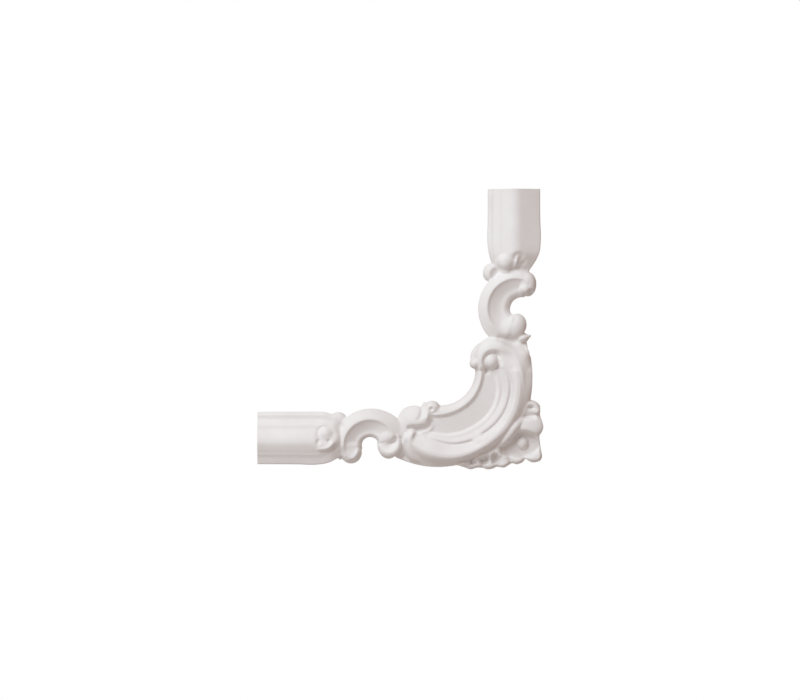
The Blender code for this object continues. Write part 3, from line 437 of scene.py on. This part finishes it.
def cartouche(r):
    """A crescent dish: from the inside, a rim, a sunk floor, two ribs and a broad outer band."""
    degrees = (-118, -100, -80, -60, -40, -20, 0, 15, 30)
    # each row is one ring's radius at those degrees
    radii = (
        (31.1, 31.1, 31.1, 31.1, 31.1, 31.1, 31.1, 31.1, 31.1),
        (32.2, 32.2, 32.2, 32.2, 32.2, 32.2, 32.2, 32.2, 32.2),
        (35.4, 35.6, 35.2, 34.8, 34.6, 34.2, 34.2, 34.2, 34.2),
        (39.8, 39.8, 38.5, 37.8, 37.6, 37.0, 37.0, 36.6, 36.6),
        (41.8, 41.8, 40.8, 39.9, 39.6, 39.0, 38.8, 38.4, 38.4),
        (44.0, 44.0, 43.0, 42.1, 41.8, 41.2, 40.4, 39.8, 39.6),
        (51.0, 54.2, 56.6, 56.8, 56.6, 53.1, 46.2, 41.3, 39.8),
        (52.8, 55.8, 58.0, 58.4, 58.2, 54.7, 48.0, 43.1, 41.6),
        (54.4, 57.2, 60.4, 61.0, 60.6, 58.4, 51.0, 45.6, 43.8),
        (56.0, 59.2, 63.6, 64.8, 64.0, 60.8, 53.6, 48.4, 46.4),
        (57.0, 61.0, 66.0, 67.6, 66.4, 63.0, 55.4, 51.4, 50.0),
        (59.2, 63.4, 68.8, 70.6, 69.4, 66.2, 59.2, 54.8, 53.6),
        (64.0, 70.0, 74.8, 75.0, 73.6, 70.0, 66.2, 63.6, 62.6),
        (66.6, 73.2, 77.4, 77.2, 76.6, 73.4, 69.0, 66.0, 65.0),
        (69.2, 76.0, 79.6, 79.0, 78.8, 75.8, 71.6, 68.6, 67.6),
        (78.0, 81.4, 81.9, 81.8, 81.4, 79.8, 77.8, 76.8, 75.8),
        (85.6, 85.3, 84.6, 84.4, 84.0, 82.2, 80.7, 79.8, 79.0),
    )
    dip = (12.0, 12.0, 12.0, 12.0, 11.8, 11.0, 10.8, 10.8, 10.8)
    shoulder = (17.2, 17.2, 17.2, 17.4, 17.6, 17.8, 18.0, 18.0, 18.0)
    flank = (9.4, 9.4, 9.6, 10.4, 12.2, 14.8, 15.2, 15.2, 15.2)
    rim = (6.0, 6.0, 6.0, 6.6, 8.8, 12.6, 13.6, 13.6, 13.6)
    heights = (EDGE, 9.6, 12.0, 13.1, 9.6, 9.9, 8.7, 11.6, dip, 14.0, 14.8, 15.4, 19.2, 19.2, shoulder,
               flank, rim)
    r.shell(CRESCENT_CENTRE, (1, 0), (0, 1), degrees, radii, heights, (-117, 9), 0.8, (24, 11))
    # a groove parts the ribs from the outer band, broken where the upper band ends over the lower one
    r.groove([(-9.3, 65.1), (-5.3, 57.3), (-2.6, 47.3), (-3.5, 36.4), (-7.7, 23.8), (-15.2, 13.0),
              (-23.8, 5.6), (-28.9, 2.3)], (1.3,) * 8, (1.6, 2.2, 2.2, 2.2, 2.2, 2.2, 2.2, 1.8), 0.06)
    r.groove([(-35.1, -2.1), (-43.6, -4.6), (-52.5, -5.7), (-61.5, -4.7), (-70.4, -1.9), (-78.8, 1.8)],
             (1.2,) * 6, (2.2, 2.4, 2.2, 2.0, 1.4, 0.8), 0.06)
    r.band([(-7.9, 11.4), (-16.6, 2.6), (-24.5, -2.6), (-30.2, -3.9)], (2.4, 4.6, 5.4, 5.0),
           (15.5, 15, 14.2, 12.6), (2.6, 3.6, 4.2, 4.6), 1.4)


def top_volute(r):
    """The band winds over the top of the crescent and round a ball."""
    r.dome((-21.9, 70.9), (16.0, 14.0), EDGE, 4.5, 0, 3.0, 1.0, True)
    path = [(-25.7, 63.5), (-26.1, 67.9), (-24.2, 72.2), (-20.0, 74.1), (-15.2, 72.5), (-12.1, 68.8),
            (-9.3, 63.0), (-4.6, 54.3), (-2.3, 43.8), (-2.8, 33.3)]
    # each row is one ring's distance to the left of the path, at ten places along it
    rings = (
        (-2.5,) * 10,
        (0.0,) * 10,
        (1.2, 1.2, 1.2, 1.3, 1.6, 1.8, 1.8, 1.8, 1.8, 1.8),
        (2.6, 2.8, 3.0, 3.8, 5.4, 7.6, 9.2, 9.4, 9.0, 8.4),
        (5.2, 5.6, 6.4, 8.0, 10.4, 12.8, 12.8, 11.8, 10.6, 9.8),
        (7.0, 8.0, 9.2, 11.6, 14.6, 20.2, 21.9, 17.6, 15.6, 14.6),
        (8.6, 9.4, 10.8, 14.6, 17.8, 24.6, 25.4, 20.4, 18.0, 17.0))
    heights = (
        (11.0, 11.0, 11.0, 11.0, 12.0, 14.0, 14.8, 12.8, 9.0, 8.0),
        (11.6, 11.6, 11.6, 11.6, 12.8, 14.9, 15.5, 14.8, 12.0, 9.0),
        (14.2, 14.6, 14.8, 14.8, 14.4, 15.3, 15.8, 15.8, 14.6, 11.0),
        (15.0, 15.6, 16.0, 16.6, 16.6, 15.6, 16.6, 18.6, 17.4, 14.0),
        (13.6, 14.4, 14.8, 15.4, 16.6, 16.8, 18.0, 19.2, 17.4, 14.0),
        (11.4, 11.6, 12.0, 12.6, 13.8, 15.2, 15.4, 15.2, 12.0, 8.0),
        (6.0, 7.0, 8.0, 9.0, 10.4, 11.6, 12.8, 13.2, 10.4, 6.0))
    r.loft(path, rings, heights, 0.8, True)
    r.hollow((-25.4, 59.0), (5.4, 3.8), 2.8, -30)
    r.groove([(-18.4, 74.9), (-14.4, 73.2), (-12.3, 69.5), (-11.7, 65.7), (-12.8, 62.0)], 1.5,
             (0.8, 2.0, 1.2, 1.0, 0.4), 0.12)
    r.dome((-33.8, 65.3), (5.0, 4.8), 7.4, 7.2, 0, 2.2, 1.8, True)
    r.dome((-19.6, 67.3), (6.5, 6.6), 10.2, 7.2, soft=0.6)


def left_volute(r):
    """A lobe with a rolled lip over a hook that starts the lower band."""
    r.dome((-81.4, -4.4), (17.6, 15.4), EDGE, 4.6, 0, 3.0, 3.0, True)
    r.dome((-94.6, 4.4), (7.0, 10.0), EDGE, 5.0, 0, 2.6, 3.0)
    r.dome((-87.6, 15.3), (14.0, 13.0), 5.4, 6.2, 0, 2.2, 2.5, True)
    r.dome((-84.1, 14.0), (16.4, 15.2), 5.0, 10.0, 0, 1.6, 2.0)
    r.groove([(-81.4, 28.9), (-80.7, 23.6), (-82.0, 18.4), (-85.5, 14.0)], (1.3, 1.7, 1.7, 1.3),
             (0.3, 1.0, 1.1, 0.4), 0.2)
    r.ridge([(-79.2, 29.3), (-76.2, 24.5), (-76.0, 18.8), (-78.8, 14.5)], (1.8, 2.3, 2.3, 2.0),
            (0.8, 2.2, 2.4, 1.2))
    r.dome((-71.6, 26.3), (7.0, 6.2), 5.5, 8.6, 0, 2.4, 1.6, True)
    r.hollow((-72.3, 25.4), (2.4, 2.4), 2.2)
    r.groove([(-72.2, 17.5), (-73.0, 12.6), (-77.1, 9.1), (-84.1, 8.2), (-90.6, 9.1), (-94.0, 7.9)],
             (1.6, 2.0, 2.4, 2.3, 1.8, 1.2), (1.0, 2.2, 3.8, 4.6, 4.0, 1.6), 0.12)
    r.band([(-85.3, 2.8), (-87.7, 4.6), (-90.2, 1.9), (-90.9, -3.5), (-89.8, -9.6), (-86.5, -15.3),
            (-80.0, -19.3)], (1.4, 2.8, 4.0, 5.0, 5.4, 5.2, 3.0), (9.0, 9.8, 9.8, 9.2, 8.4, 7.2, 6.0),
            (2.2, 4.8, 6.0, 6.2, 5.6, 4.4, 2.4), 1.4, True, 1.4)
    r.hollow((-84.4, 6.3), (5.2, 4.2), 2.0, 0, 0.1)


def rocaille(r):
    """A ruffled shell spreads behind the crescent's lower right, round a boss in a bowl."""
    outline = [(0.9, 29.8), (6.1, 32.0), (10.9, 33.1), (16.6, 30.5), (21.0, 27.3), (22.8, 23.6),
               (22.8, 20.1), (24.5, 14.9), (25.6, 9.6), (24.3, 5.3), (22.4, 1.8), (22.9, -4.4),
               (23.8, -10.5), (24.7, -16.2), (22.6, -20.1), (16.6, -21.5), (12.7, -20.0), (10.1, -18.4),
               (7.4, -21.4), (2.6, -23.1), (-1.3, -22.2), (-3.9, -23.3), (-8.3, -25.9), (-12.3, -25.7),
               (-15.5, -25.4), (-18.8, -27.0), (-23.2, -27.5), (-27.6, -26.3), (-32.4, -26.1),
               (-38.1, -27.5), (-43.3, -25.7), (-47.3, -24.2), (-50.3, -22.1), (-44.7, -18.4),
               (-31.5, -8.8), (-12.3, 7.0)]
    r.sheet(outline, 8.2, 0.34, 12.0)
    # petals swell between the valleys
    for centre, wide, deep, base, rise, turn in (
            ((14.0, 11.4), 12.2, 9.8, 10.2, 4.6, -10), ((18.4, -16.6), 6.6, 5.4, 6.8, 2.8, 20),
            ((3.5, -19.6), 5.6, 3.6, 8.2, 2.2, 0),
            ((-6.5, -21.9), 5.4, 3.6, 8.2, 2.2, 15), ((-20.3, -24.2), 4.8, 3.2, 8.0, 2.4, 10),
            ((-32.8, -24.5), 5.0, 2.6, 7.8, 2.0, 0), ((-43.8, -23.3), 5.6, 3.2, 7.6, 2.2, 10)):
        r.dome(centre, (wide, deep), base, rise, turn, 2.6, 1.6)
    r.roll((-12.3, -12.3), (42.0, 20.0), 2.6, 4.0)
    # the bowl round the boss, then the deep folds along the crescent
    r.hollow((6.7, -5.6), (18.2, 13.6), 12.0, 0, 0.45)
    r.hollow((18.9, -9.6), (8.6, 9.6), 1.8, 0, 0.3)
    r.hollow((-5.7, -10.1), (9.4, 7.4), 7.4, 0, 0.4)
    r.hollow((-25.8, -18.4), (6.0, 5.2), 7.0, 0, 0.4)
    r.hollow((-16.6, -18.0), (4.4, 5.8), 7.0, 0, 0.4)
    r.hollow((-38.5, -20.3), (7.0, 3.6), 6.4, 0, 0.4)
    for points, depth in (([(10.2, -20.1), (8.4, -16.6), (6.1, -14.0)], 1.2),
                          ([(-2.2, -23.2), (-3.5, -18.4), (-5.3, -14.0)], 2.4),
                          ([(-14.0, -26.3), (-12.7, -20.1), (-10.5, -14.9)], 2.6),
                          ([(-27.6, -26.8), (-27.1, -21.9), (-28.9, -17.5)], 2.6),
                          ([(23.6, 0.9), (19.3, 1.8), (13.1, 3.9), (6.1, 5.3)], 2.2)):
        r.groove(points, 1.5, depth, 0.3)
    r.dome((7.5, -4.7), (5.6, 5.8), 2.6, 6.2, soft=1.4)
    # the valley along the crescent's side, and the main fold standing beside it
    r.groove([(3.5, 18.4), (-6.1, 6.1), (-16.6, -4.4), (-28.0, -10.9)], (1.6, 1.9, 1.9, 1.6),
             (3.0, 4.0, 4.6, 4.0), 0.15)
    r.band([(5.8, 15.8), (1.4, 11.2), (-3.9, 4.4), (-8.8, -2.1), (-13.1, -6.8)],
           (3.0, 4.2, 4.1, 3.2, 1.9), (9.6, 10.6, 10.4, 9.4, 8.0), (5.0, 6.4, 6.4, 5.6, 3.6), 1.2,
           False, 2.8)
    r.band([(-14.4, -7.0), (-13.7, -10.5), (-11.4, -15.8)], (1.6, 1.6, 1.2), (8.6, 8.2, 7.6),
           (3.6, 3.4, 2.4), 0.8)
    r.band([(-35.0, -20.1), (-31.9, -16.9), (-27.1, -15.2), (-19.3, -13.8)], (1.2, 1.6, 1.7, 1.0),
           (8.4, 8.8, 9.0, 8.4), (2.4, 3.2, 3.2, 2.0), 0.8)
    r.band([(-40.3, -21.5), (-44.7, -22.2), (-49.4, -22.6)], (1.8, 2.6, 0.9), (8.0, 8.4, 8.0),
           (2.0, 3.0, 2.0), 1.0, True)
    # the open curl over the petals
    r.dome((13.6, 26.3), (9.4, 7.0), 8.0, 4.6, 0, 2.6, 1.2, True)
    r.hollow((14.9, 26.8), (4.0, 2.0), 3.6, -10, 0.2)
    r.band([(7.7, 20.1), (8.4, 25.0), (11.0, 29.4), (16.1, 30.1), (20.0, 26.8), (20.3, 23.3),
            (14.9, 22.6)], (2.6, 3.2, 2.7, 2.0, 1.9, 2.1, 1.6), (10.4, 10.8, 10.8, 10.2, 10, 10, 9.8),
           (2.8, 3.0, 2.8, 2.4, 2.6, 2.8, 2), 1.6)
    r.groove([(7.0, 18.7), (13.1, 18.9), (20.1, 17.9)], (1.5, 1.8, 1.5), (2.4, 3.4, 1.6), 0.2)


def neck(r):
    """The bridge between the scroll and the crescent, with a leaf tip on its outer side."""
    r.dome((3.5, 79.7), (8.4, 9.0), EDGE, 2.0, 0, 3.0, 1.0, True)
    r.band([(2.6, 84.4), (8.4, 87.4), (14.2, 89.5)], (2.4, 3.6, 0.8), (6.8, 7.0, 5.6), (2.6, 4, 2.6),
           1.2, True)


def crease(r):
    """A dark fold between the neck and the crescent's band."""
    r.groove([(-16.6, 88.1), (-10.5, 86.2), (-5.3, 84.2), (-0.5, 82.5), (5.3, 80.6), (13.6, 81.4)],
             (1.8, 2.5, 3.4, 3.8, 3.8, 4.2), (0.8, 2.4, 4.8, 5.8, 4.4, 3.4), 0.12)


def small_curls(r):
    """Where a scroll leaves the moulding, a little crescent stands at its inner side."""
    r.dome((-20.0, 145.0), (7.0, 8.2), EDGE, 5.6, -12, 2.2, 2.4, True)
    r.hollow((-16.8, 143.8), (4.8, 6.4), 2.4, -20, 0.3)
    r.dome((-153.9, 15.2), (7.8, 7.4), EDGE, 5.6, 0, 2.2, 4.0, True)
    r.hollow((-152.4, 10.5), (5.6, 3.8), 0.7, -20, 0.1)


def relief(u, v):
    """The whole carving: its height at each point, and the distance inside its outline."""
    r = Relief(u, v)
    stops = (140, 147.1, 155.9, 162.9, 169, 176, 190, REACH_UP)
    arm(r, u, v, stops, (14, 17.5, 20.4, 22.0, 22.9, 23.3, 22.9, HALF_WIDTH),
        (9, 13.6, 19.4, 22.3, 23.2, 23.5, 23.0, HALF_WIDTH), 145.0, (138, 163), 0.49, PLAIN_SIDE)
    stops = (145, 150, 156, 161, 166, 172, 190, REACH_LEFT)
    arm(r, -v, -u, stops, (12, 16, 19.8, 21.2, 22.6, 22.9, 22.9, HALF_WIDTH),
        (12, 15, 18.4, 21.0, 22.4, 23.2, 23.0, HALF_WIDTH), 150.0, (141, 161), 0.57, LINED_SIDE)
    upright_bud(r)
    level_bud(r)
    # the scrolls rest on low bases where they meet their neighbours
    r.dome((-4.4, 87.6), (17.0, 8.0), EDGE, 4.0, 0, 3.0, 1.0, True)
    r.dome((-100.7, 0.0), (7.5, 17.0), EDGE, 2.0, 0, 3.0, 1.0, True)
    r.dome((-2.6, 145.4), (15.5, 8.0), EDGE, 4.0, 0, 3.0, 1.0, True)
    r.dome((-152.4, 0.9), (6.0, 19.0), EDGE, 4.0, 0, 3.0, 1.0, True)
    upright_scroll(r)
    level_scroll(r)
    small_curls(r)
    rocaille(r)
    neck(r)
    cartouche(r)
    top_volute(r)
    crease(r)
    left_volute(r)
    return r.height, r.inside


def blur(grid, radius):
    """The grid averaged over a bell of that radius, in grid steps."""
    reach = int(3 * radius) + 1
    bell = np.exp(-0.5 * (np.arange(-reach, reach + 1) / radius) ** 2)
    bell /= bell.sum()
    grid = np.pad(grid, reach, mode="edge")
    grid = np.apply_along_axis(np.convolve, 0, grid, bell, "valid")
    return np.apply_along_axis(np.convolve, 1, grid, bell, "valid")


def rounded(height, inside):
    """The carving as the mould leaves it: every edge slightly soft, and the outer edge rounded over."""
    mask = (inside > 0).astype(float)
    weight = blur(mask, SOFTEN / STEP)
    soft = blur(np.where(inside > 0, height, 0.0), SOFTEN / STEP) / np.maximum(weight, 1e-3)
    height = np.maximum(np.where(weight > 1e-2, soft, height), THINNEST)
    short = np.clip(RIM - inside, 0, RIM)
    return height - (RIM - np.sqrt(RIM ** 2 - short ** 2))


def front_grid():
    """A grid over the corner, lifted to the carving, and each point's distance inside the outline."""
    columns = round((REACH_LEFT + REACH_RIGHT) / STEP)
    rows = round((REACH_UP + REACH_DOWN) / STEP)
    u, v = np.meshgrid(np.linspace(-REACH_LEFT, REACH_RIGHT, columns + 1),
                       np.linspace(-REACH_DOWN, REACH_UP, rows + 1))
    height, inside = relief(u, v)
    height = rounded(height, inside)
    bm = bmesh.new()
    bmesh.ops.create_grid(bm, x_segments=columns, y_segments=rows, size=0.5)
    within = {}
    far = []
    for vert in bm.verts:
        i = round((vert.co.x + 0.5) * columns)
        j = round((vert.co.y + 0.5) * rows)
        distance = inside[j, i]
        if distance < -KEPT_OUTSIDE * STEP:
            far.append(vert)
            continue
        vert.co = (u[j, i] / MM, -height[j, i] / MM, v[j, i] / MM)
        within[vert] = distance
    bmesh.ops.delete(bm, geom=far, context="VERTS")
    return bm, within


def cut_outline(bm, within):
    """Cuts the grid along the outline and drops what lies beyond it."""
    crossing = [edge for edge in bm.edges if (within[edge.verts[0]] > 0) != (within[edge.verts[1]] > 0)]
    cuts = []
    for edge in crossing:
        first, second = edge.verts
        share = within[first] / (within[first] - within[second])
        share = min(max(share, NEAREST), 1 - NEAREST)
        inner = first if within[first] > 0 else second
        depth = min(inner.co.y, -(THINNEST - RIM) / MM)
        _, cut = bmesh.utils.edge_split(edge, first, share)
        cut.co.y = depth + (min(cut.co.y, -(THINNEST - RIM) / MM) - depth) * RIM_LEAN
        cuts.append(cut)
    bmesh.ops.connect_verts(bm, verts=cuts)
    beyond = [vert for vert, distance in within.items() if distance <= 0]
    bmesh.ops.delete(bm, geom=beyond, context="VERTS")


def drop_scraps(bm):
    """Keeps the largest piece of the sheet."""
    left = set(bm.faces)
    largest = set()
    while left:
        piece, reached = set(), [left.pop()]
        while reached:
            face = reached.pop()
            piece.add(face)
            for edge in face.edges:
                for other in edge.link_faces:
                    if other in left:
                        left.discard(other)
                        reached.append(other)
        if len(piece) > len(largest):
            largest = piece
    scraps = [face for face in bm.faces if face not in largest]
    bmesh.ops.delete(bm, geom=scraps, context="FACES")


def close_back(bm):
    """Walls run straight back from the sheet's rim to the wall plane, and a flat face closes them."""
    rim = [edge for edge in bm.edges if edge.is_boundary]
    made = bmesh.ops.extrude_edge_only(bm, edges=rim)["geom"]
    for part in made:
        if isinstance(part, bmesh.types.BMVert):
            part.co.y = 0.0
    behind = [part for part in made if isinstance(part, bmesh.types.BMEdge) and part.is_boundary]
    walls = [part for part in made if isinstance(part, bmesh.types.BMFace)]
    bmesh.ops.triangle_fill(bm, use_beauty=True, use_dissolve=False, edges=behind)
    bmesh.ops.recalc_face_normals(bm, faces=bm.faces)
    for face in bm.faces:
        face.smooth = True
    for edge in behind:
        edge.smooth = False
    # the cut ends are flat, with a crisp edge all round
    for face in walls:
        at_left = all(abs(vert.co.x * MM + REACH_LEFT) < SNAP for vert in face.verts)
        at_top = all(abs(vert.co.z * MM - REACH_UP) < SNAP for vert in face.verts)
        if at_left or at_top:
            face.smooth = False
            for edge in face.edges:
                edge.smooth = False


def keep_in_box(bm):
    """Holds the carving inside the plain solid's box."""
    for vertex in bm.verts:
        for axis in range(3):
            vertex.co[axis] = min(max(vertex.co[axis], CAD_BOX[0][axis]), CAD_BOX[1][axis])


def casting():
    """The whole corner as one closed piece in place of the plain solid."""
    bm, within = front_grid()
    cut_outline(bm, within)
    drop_scraps(bm)
    close_back(bm)
    keep_in_box(bm)
    mesh = bpy.data.meshes.new("carved_corner")
    bm.to_mesh(mesh)
    bm.free()
    piece = bpy.data.objects.new("carved_corner", mesh)
    bpy.context.scene.collection.objects.link(piece)
    mesh.materials.append(polyurethane())
    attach(piece, "root")
    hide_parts("corner_moulding")
    return piece


def noise(tree, place, scale, detail):
    """Clouds fixed to the object."""
    made = tree.nodes.new("ShaderNodeTexNoise")
    made.inputs["Scale"].default_value = scale
    made.inputs["Detail"].default_value = detail
    tree.links.new(place.outputs["Object"], made.inputs["Vector"])
    return made


def spread(tree, source, low, high, lowest=0.3, highest=0.7):
    """The source's middle range mapped onto low to high."""
    made = tree.nodes.new("ShaderNodeMapRange")
    made.inputs["From Min"].default_value = lowest
    made.inputs["From Max"].default_value = highest
    made.inputs["To Min"].default_value = low
    made.inputs["To Max"].default_value = high
    tree.links.new(source.outputs[0], made.inputs["Value"])
    return made


def mottled(tree, place, shader, scale, detail, dark, light, span=(0.0, 1.0)):
    """The shader's colour drifts in clouds between a dark and a light one."""
    tone = tree.nodes.new("ShaderNodeValToRGB")
    for stop, position, colour in zip(tone.color_ramp.elements, span, (dark, light)):
        stop.position = position
        stop.color = colour
    tree.links.new(noise(tree, place, scale, detail).outputs[0], tone.inputs["Fac"])
    tree.links.new(tone.outputs["Color"], shader.inputs["Base Color"])


def bump(tree, height, strength, depth, under=None):
    """Fine relief of this depth in metres, over another one where it is given."""
    made = tree.nodes.new("ShaderNodeBump")
    made.inputs["Strength"].default_value = strength
    made.inputs["Distance"].default_value = depth
    tree.links.new(height.outputs[0], made.inputs["Height"])
    if under:
        tree.links.new(under.outputs["Normal"], made.inputs["Normal"])
    return made


def material(name):
    """A new material, with its tree, its shader and a node for places on the object."""
    made = bpy.data.materials.new(name)
    made.use_nodes = True
    tree = made.node_tree
    return made, tree, tree.nodes["Principled BSDF"], tree.nodes.new("ShaderNodeTexCoord")


def polyurethane():
    """Off-white cast foam: matt, faintly mottled, with the mould's fine grain and a few pin-holes."""
    made, tree, shader, place = material("cast_polyurethane")
    mottled(tree, place, shader, MOTTLE_SCALE, 3.0, FOAM_DARK, FOAM_LIGHT, MOTTLE_SPAN)
    sheen = spread(tree, noise(tree, place, SHEEN_SCALE, 2.0), *ROUGHNESS)
    tree.links.new(sheen.outputs["Result"], shader.inputs["Roughness"])
    shader.inputs["Specular IOR Level"].default_value = SPECULAR
    ripple = bump(tree, noise(tree, place, RIPPLE_SCALE, 2.0), *RIPPLE)
    grain = bump(tree, noise(tree, place, GRAIN_SCALE, 3.0), *GRAIN, ripple)
    holes = tree.nodes.new("ShaderNodeTexVoronoi")
    holes.inputs["Scale"].default_value = PIT_SCALE
    tree.links.new(place.outputs["Object"], holes.inputs["Vector"])
    pits = bump(tree, spread(tree, holes, 0.0, 1.0, *PIT_SPAN), *PIT, grain)
    tree.links.new(pits.outputs["Normal"], shader.inputs["Normal"])
    return made


def plain(name, colour, roughness):
    """A matt, almost even surface for the stage."""
    made, tree, shader, place = material(name)
    mottled(tree, place, shader, 2.0, 4.0, tuple(0.97 * c for c in colour) + (1.0,), colour + (1.0,))
    shader.inputs["Roughness"].default_value = roughness
    return made


def studio():
    """A pale floor well below the piece, which hangs at the height of a wall panel."""
    bpy.ops.mesh.primitive_plane_add(size=1.0, location=(0.0, FLOOR_MIDDLE, FLOOR_LEVEL))
    floor = bpy.context.object
    floor.name = "floor"
    floor.scale = FLOOR_SIZE
    floor.data.materials.append(plain("pale_floor", FLOOR_COLOUR, FLOOR_ROUGHNESS))


def daylight():
    """Even light from all round, stronger from above, and white where the camera sees past the piece."""
    world = bpy.data.worlds.new("studio")
    bpy.context.scene.world = world
    world.use_nodes = True
    tree = world.node_tree
    tree.nodes.clear()
    place = tree.nodes.new("ShaderNodeTexCoord")
    split = tree.nodes.new("ShaderNodeSeparateXYZ")
    tree.links.new(place.outputs["Generated"], split.inputs[0])
    climb = tree.nodes.new("ShaderNodeMapRange")
    climb.inputs["From Min"].default_value = -1.0
    climb.inputs["From Max"].default_value = 1.0
    tree.links.new(split.outputs["Z"], climb.inputs["Value"])
    sky = tree.nodes.new("ShaderNodeValToRGB")
    sky.color_ramp.elements[0].color = LIGHT_BELOW + (1.0,)
    sky.color_ramp.elements[1].color = LIGHT_ABOVE + (1.0,)
    tree.links.new(climb.outputs["Result"], sky.inputs["Fac"])
    lighting = tree.nodes.new("ShaderNodeBackground")
    tree.links.new(sky.outputs["Color"], lighting.inputs["Color"])
    seen = tree.nodes.new("ShaderNodeBackground")
    seen.inputs["Color"].default_value = (1.0, 1.0, 1.0, 1.0)
    path = tree.nodes.new("ShaderNodeLightPath")
    mix = tree.nodes.new("ShaderNodeMixShader")
    out = tree.nodes.new("ShaderNodeOutputWorld")
    tree.links.new(path.outputs["Is Camera Ray"], mix.inputs[0])
    tree.links.new(lighting.outputs[0], mix.inputs[1])
    tree.links.new(seen.outputs[0], mix.inputs[2])
    tree.links.new(mix.outputs[0], out.inputs["Surface"])


def lamp(name, direction, distance, size, irradiance, colour):
    """An area light that gives the piece this irradiance from the direction."""
    data = bpy.data.lights.new(name, "AREA")
    data.shape = "DISK"
    data.size = size
    data.color = colour
    data.energy = irradiance * math.pi * distance ** 2
    made = bpy.data.objects.new(name, data)
    bpy.context.scene.collection.objects.link(made)
    toward = np.array(direction) / np.linalg.norm(direction)
    made.location = np.array(LIT_POINT) + toward * distance
    made.rotation_mode = "QUATERNION"
    made.rotation_quaternion = Vector(toward).to_track_quat("Z", "Y")


def camera():
    """Square on to the piece, framed as the photograph frames it."""
    data = bpy.data.cameras.new("camera")
    data.sensor_fit = "HORIZONTAL"
    data.sensor_width = SENSOR
    across = PICTURE[0] / PIXELS_PER_MM / MM
    data.lens = SENSOR * CAMERA_DISTANCE / across
    data.clip_end = VIEW_END
    made = bpy.data.objects.new("camera", data)
    bpy.context.scene.collection.objects.link(made)
    made.location = ((PICTURE[0] / 2 - ORIGIN_PIXEL[0]) / PIXELS_PER_MM / MM,
                     -CAMERA_DISTANCE - MIDDLE_DEPTH,
                     (ORIGIN_PIXEL[1] - PICTURE[1] / 2) / PIXELS_PER_MM / MM)
    made.rotation_euler = (math.radians(90), 0.0, 0.0)
    bpy.context.scene.camera = made


def main():
    """Makes the piece and its studio."""
    casting()
    studio()
    daylight()
    lamp("key", KEY_DIRECTION, KEY_DISTANCE, KEY_SIZE, KEY_IRRADIANCE, KEY_COLOUR)
    camera()
    bpy.context.scene.view_settings.view_transform = "Standard"
    bpy.context.view_layer.update()


main()
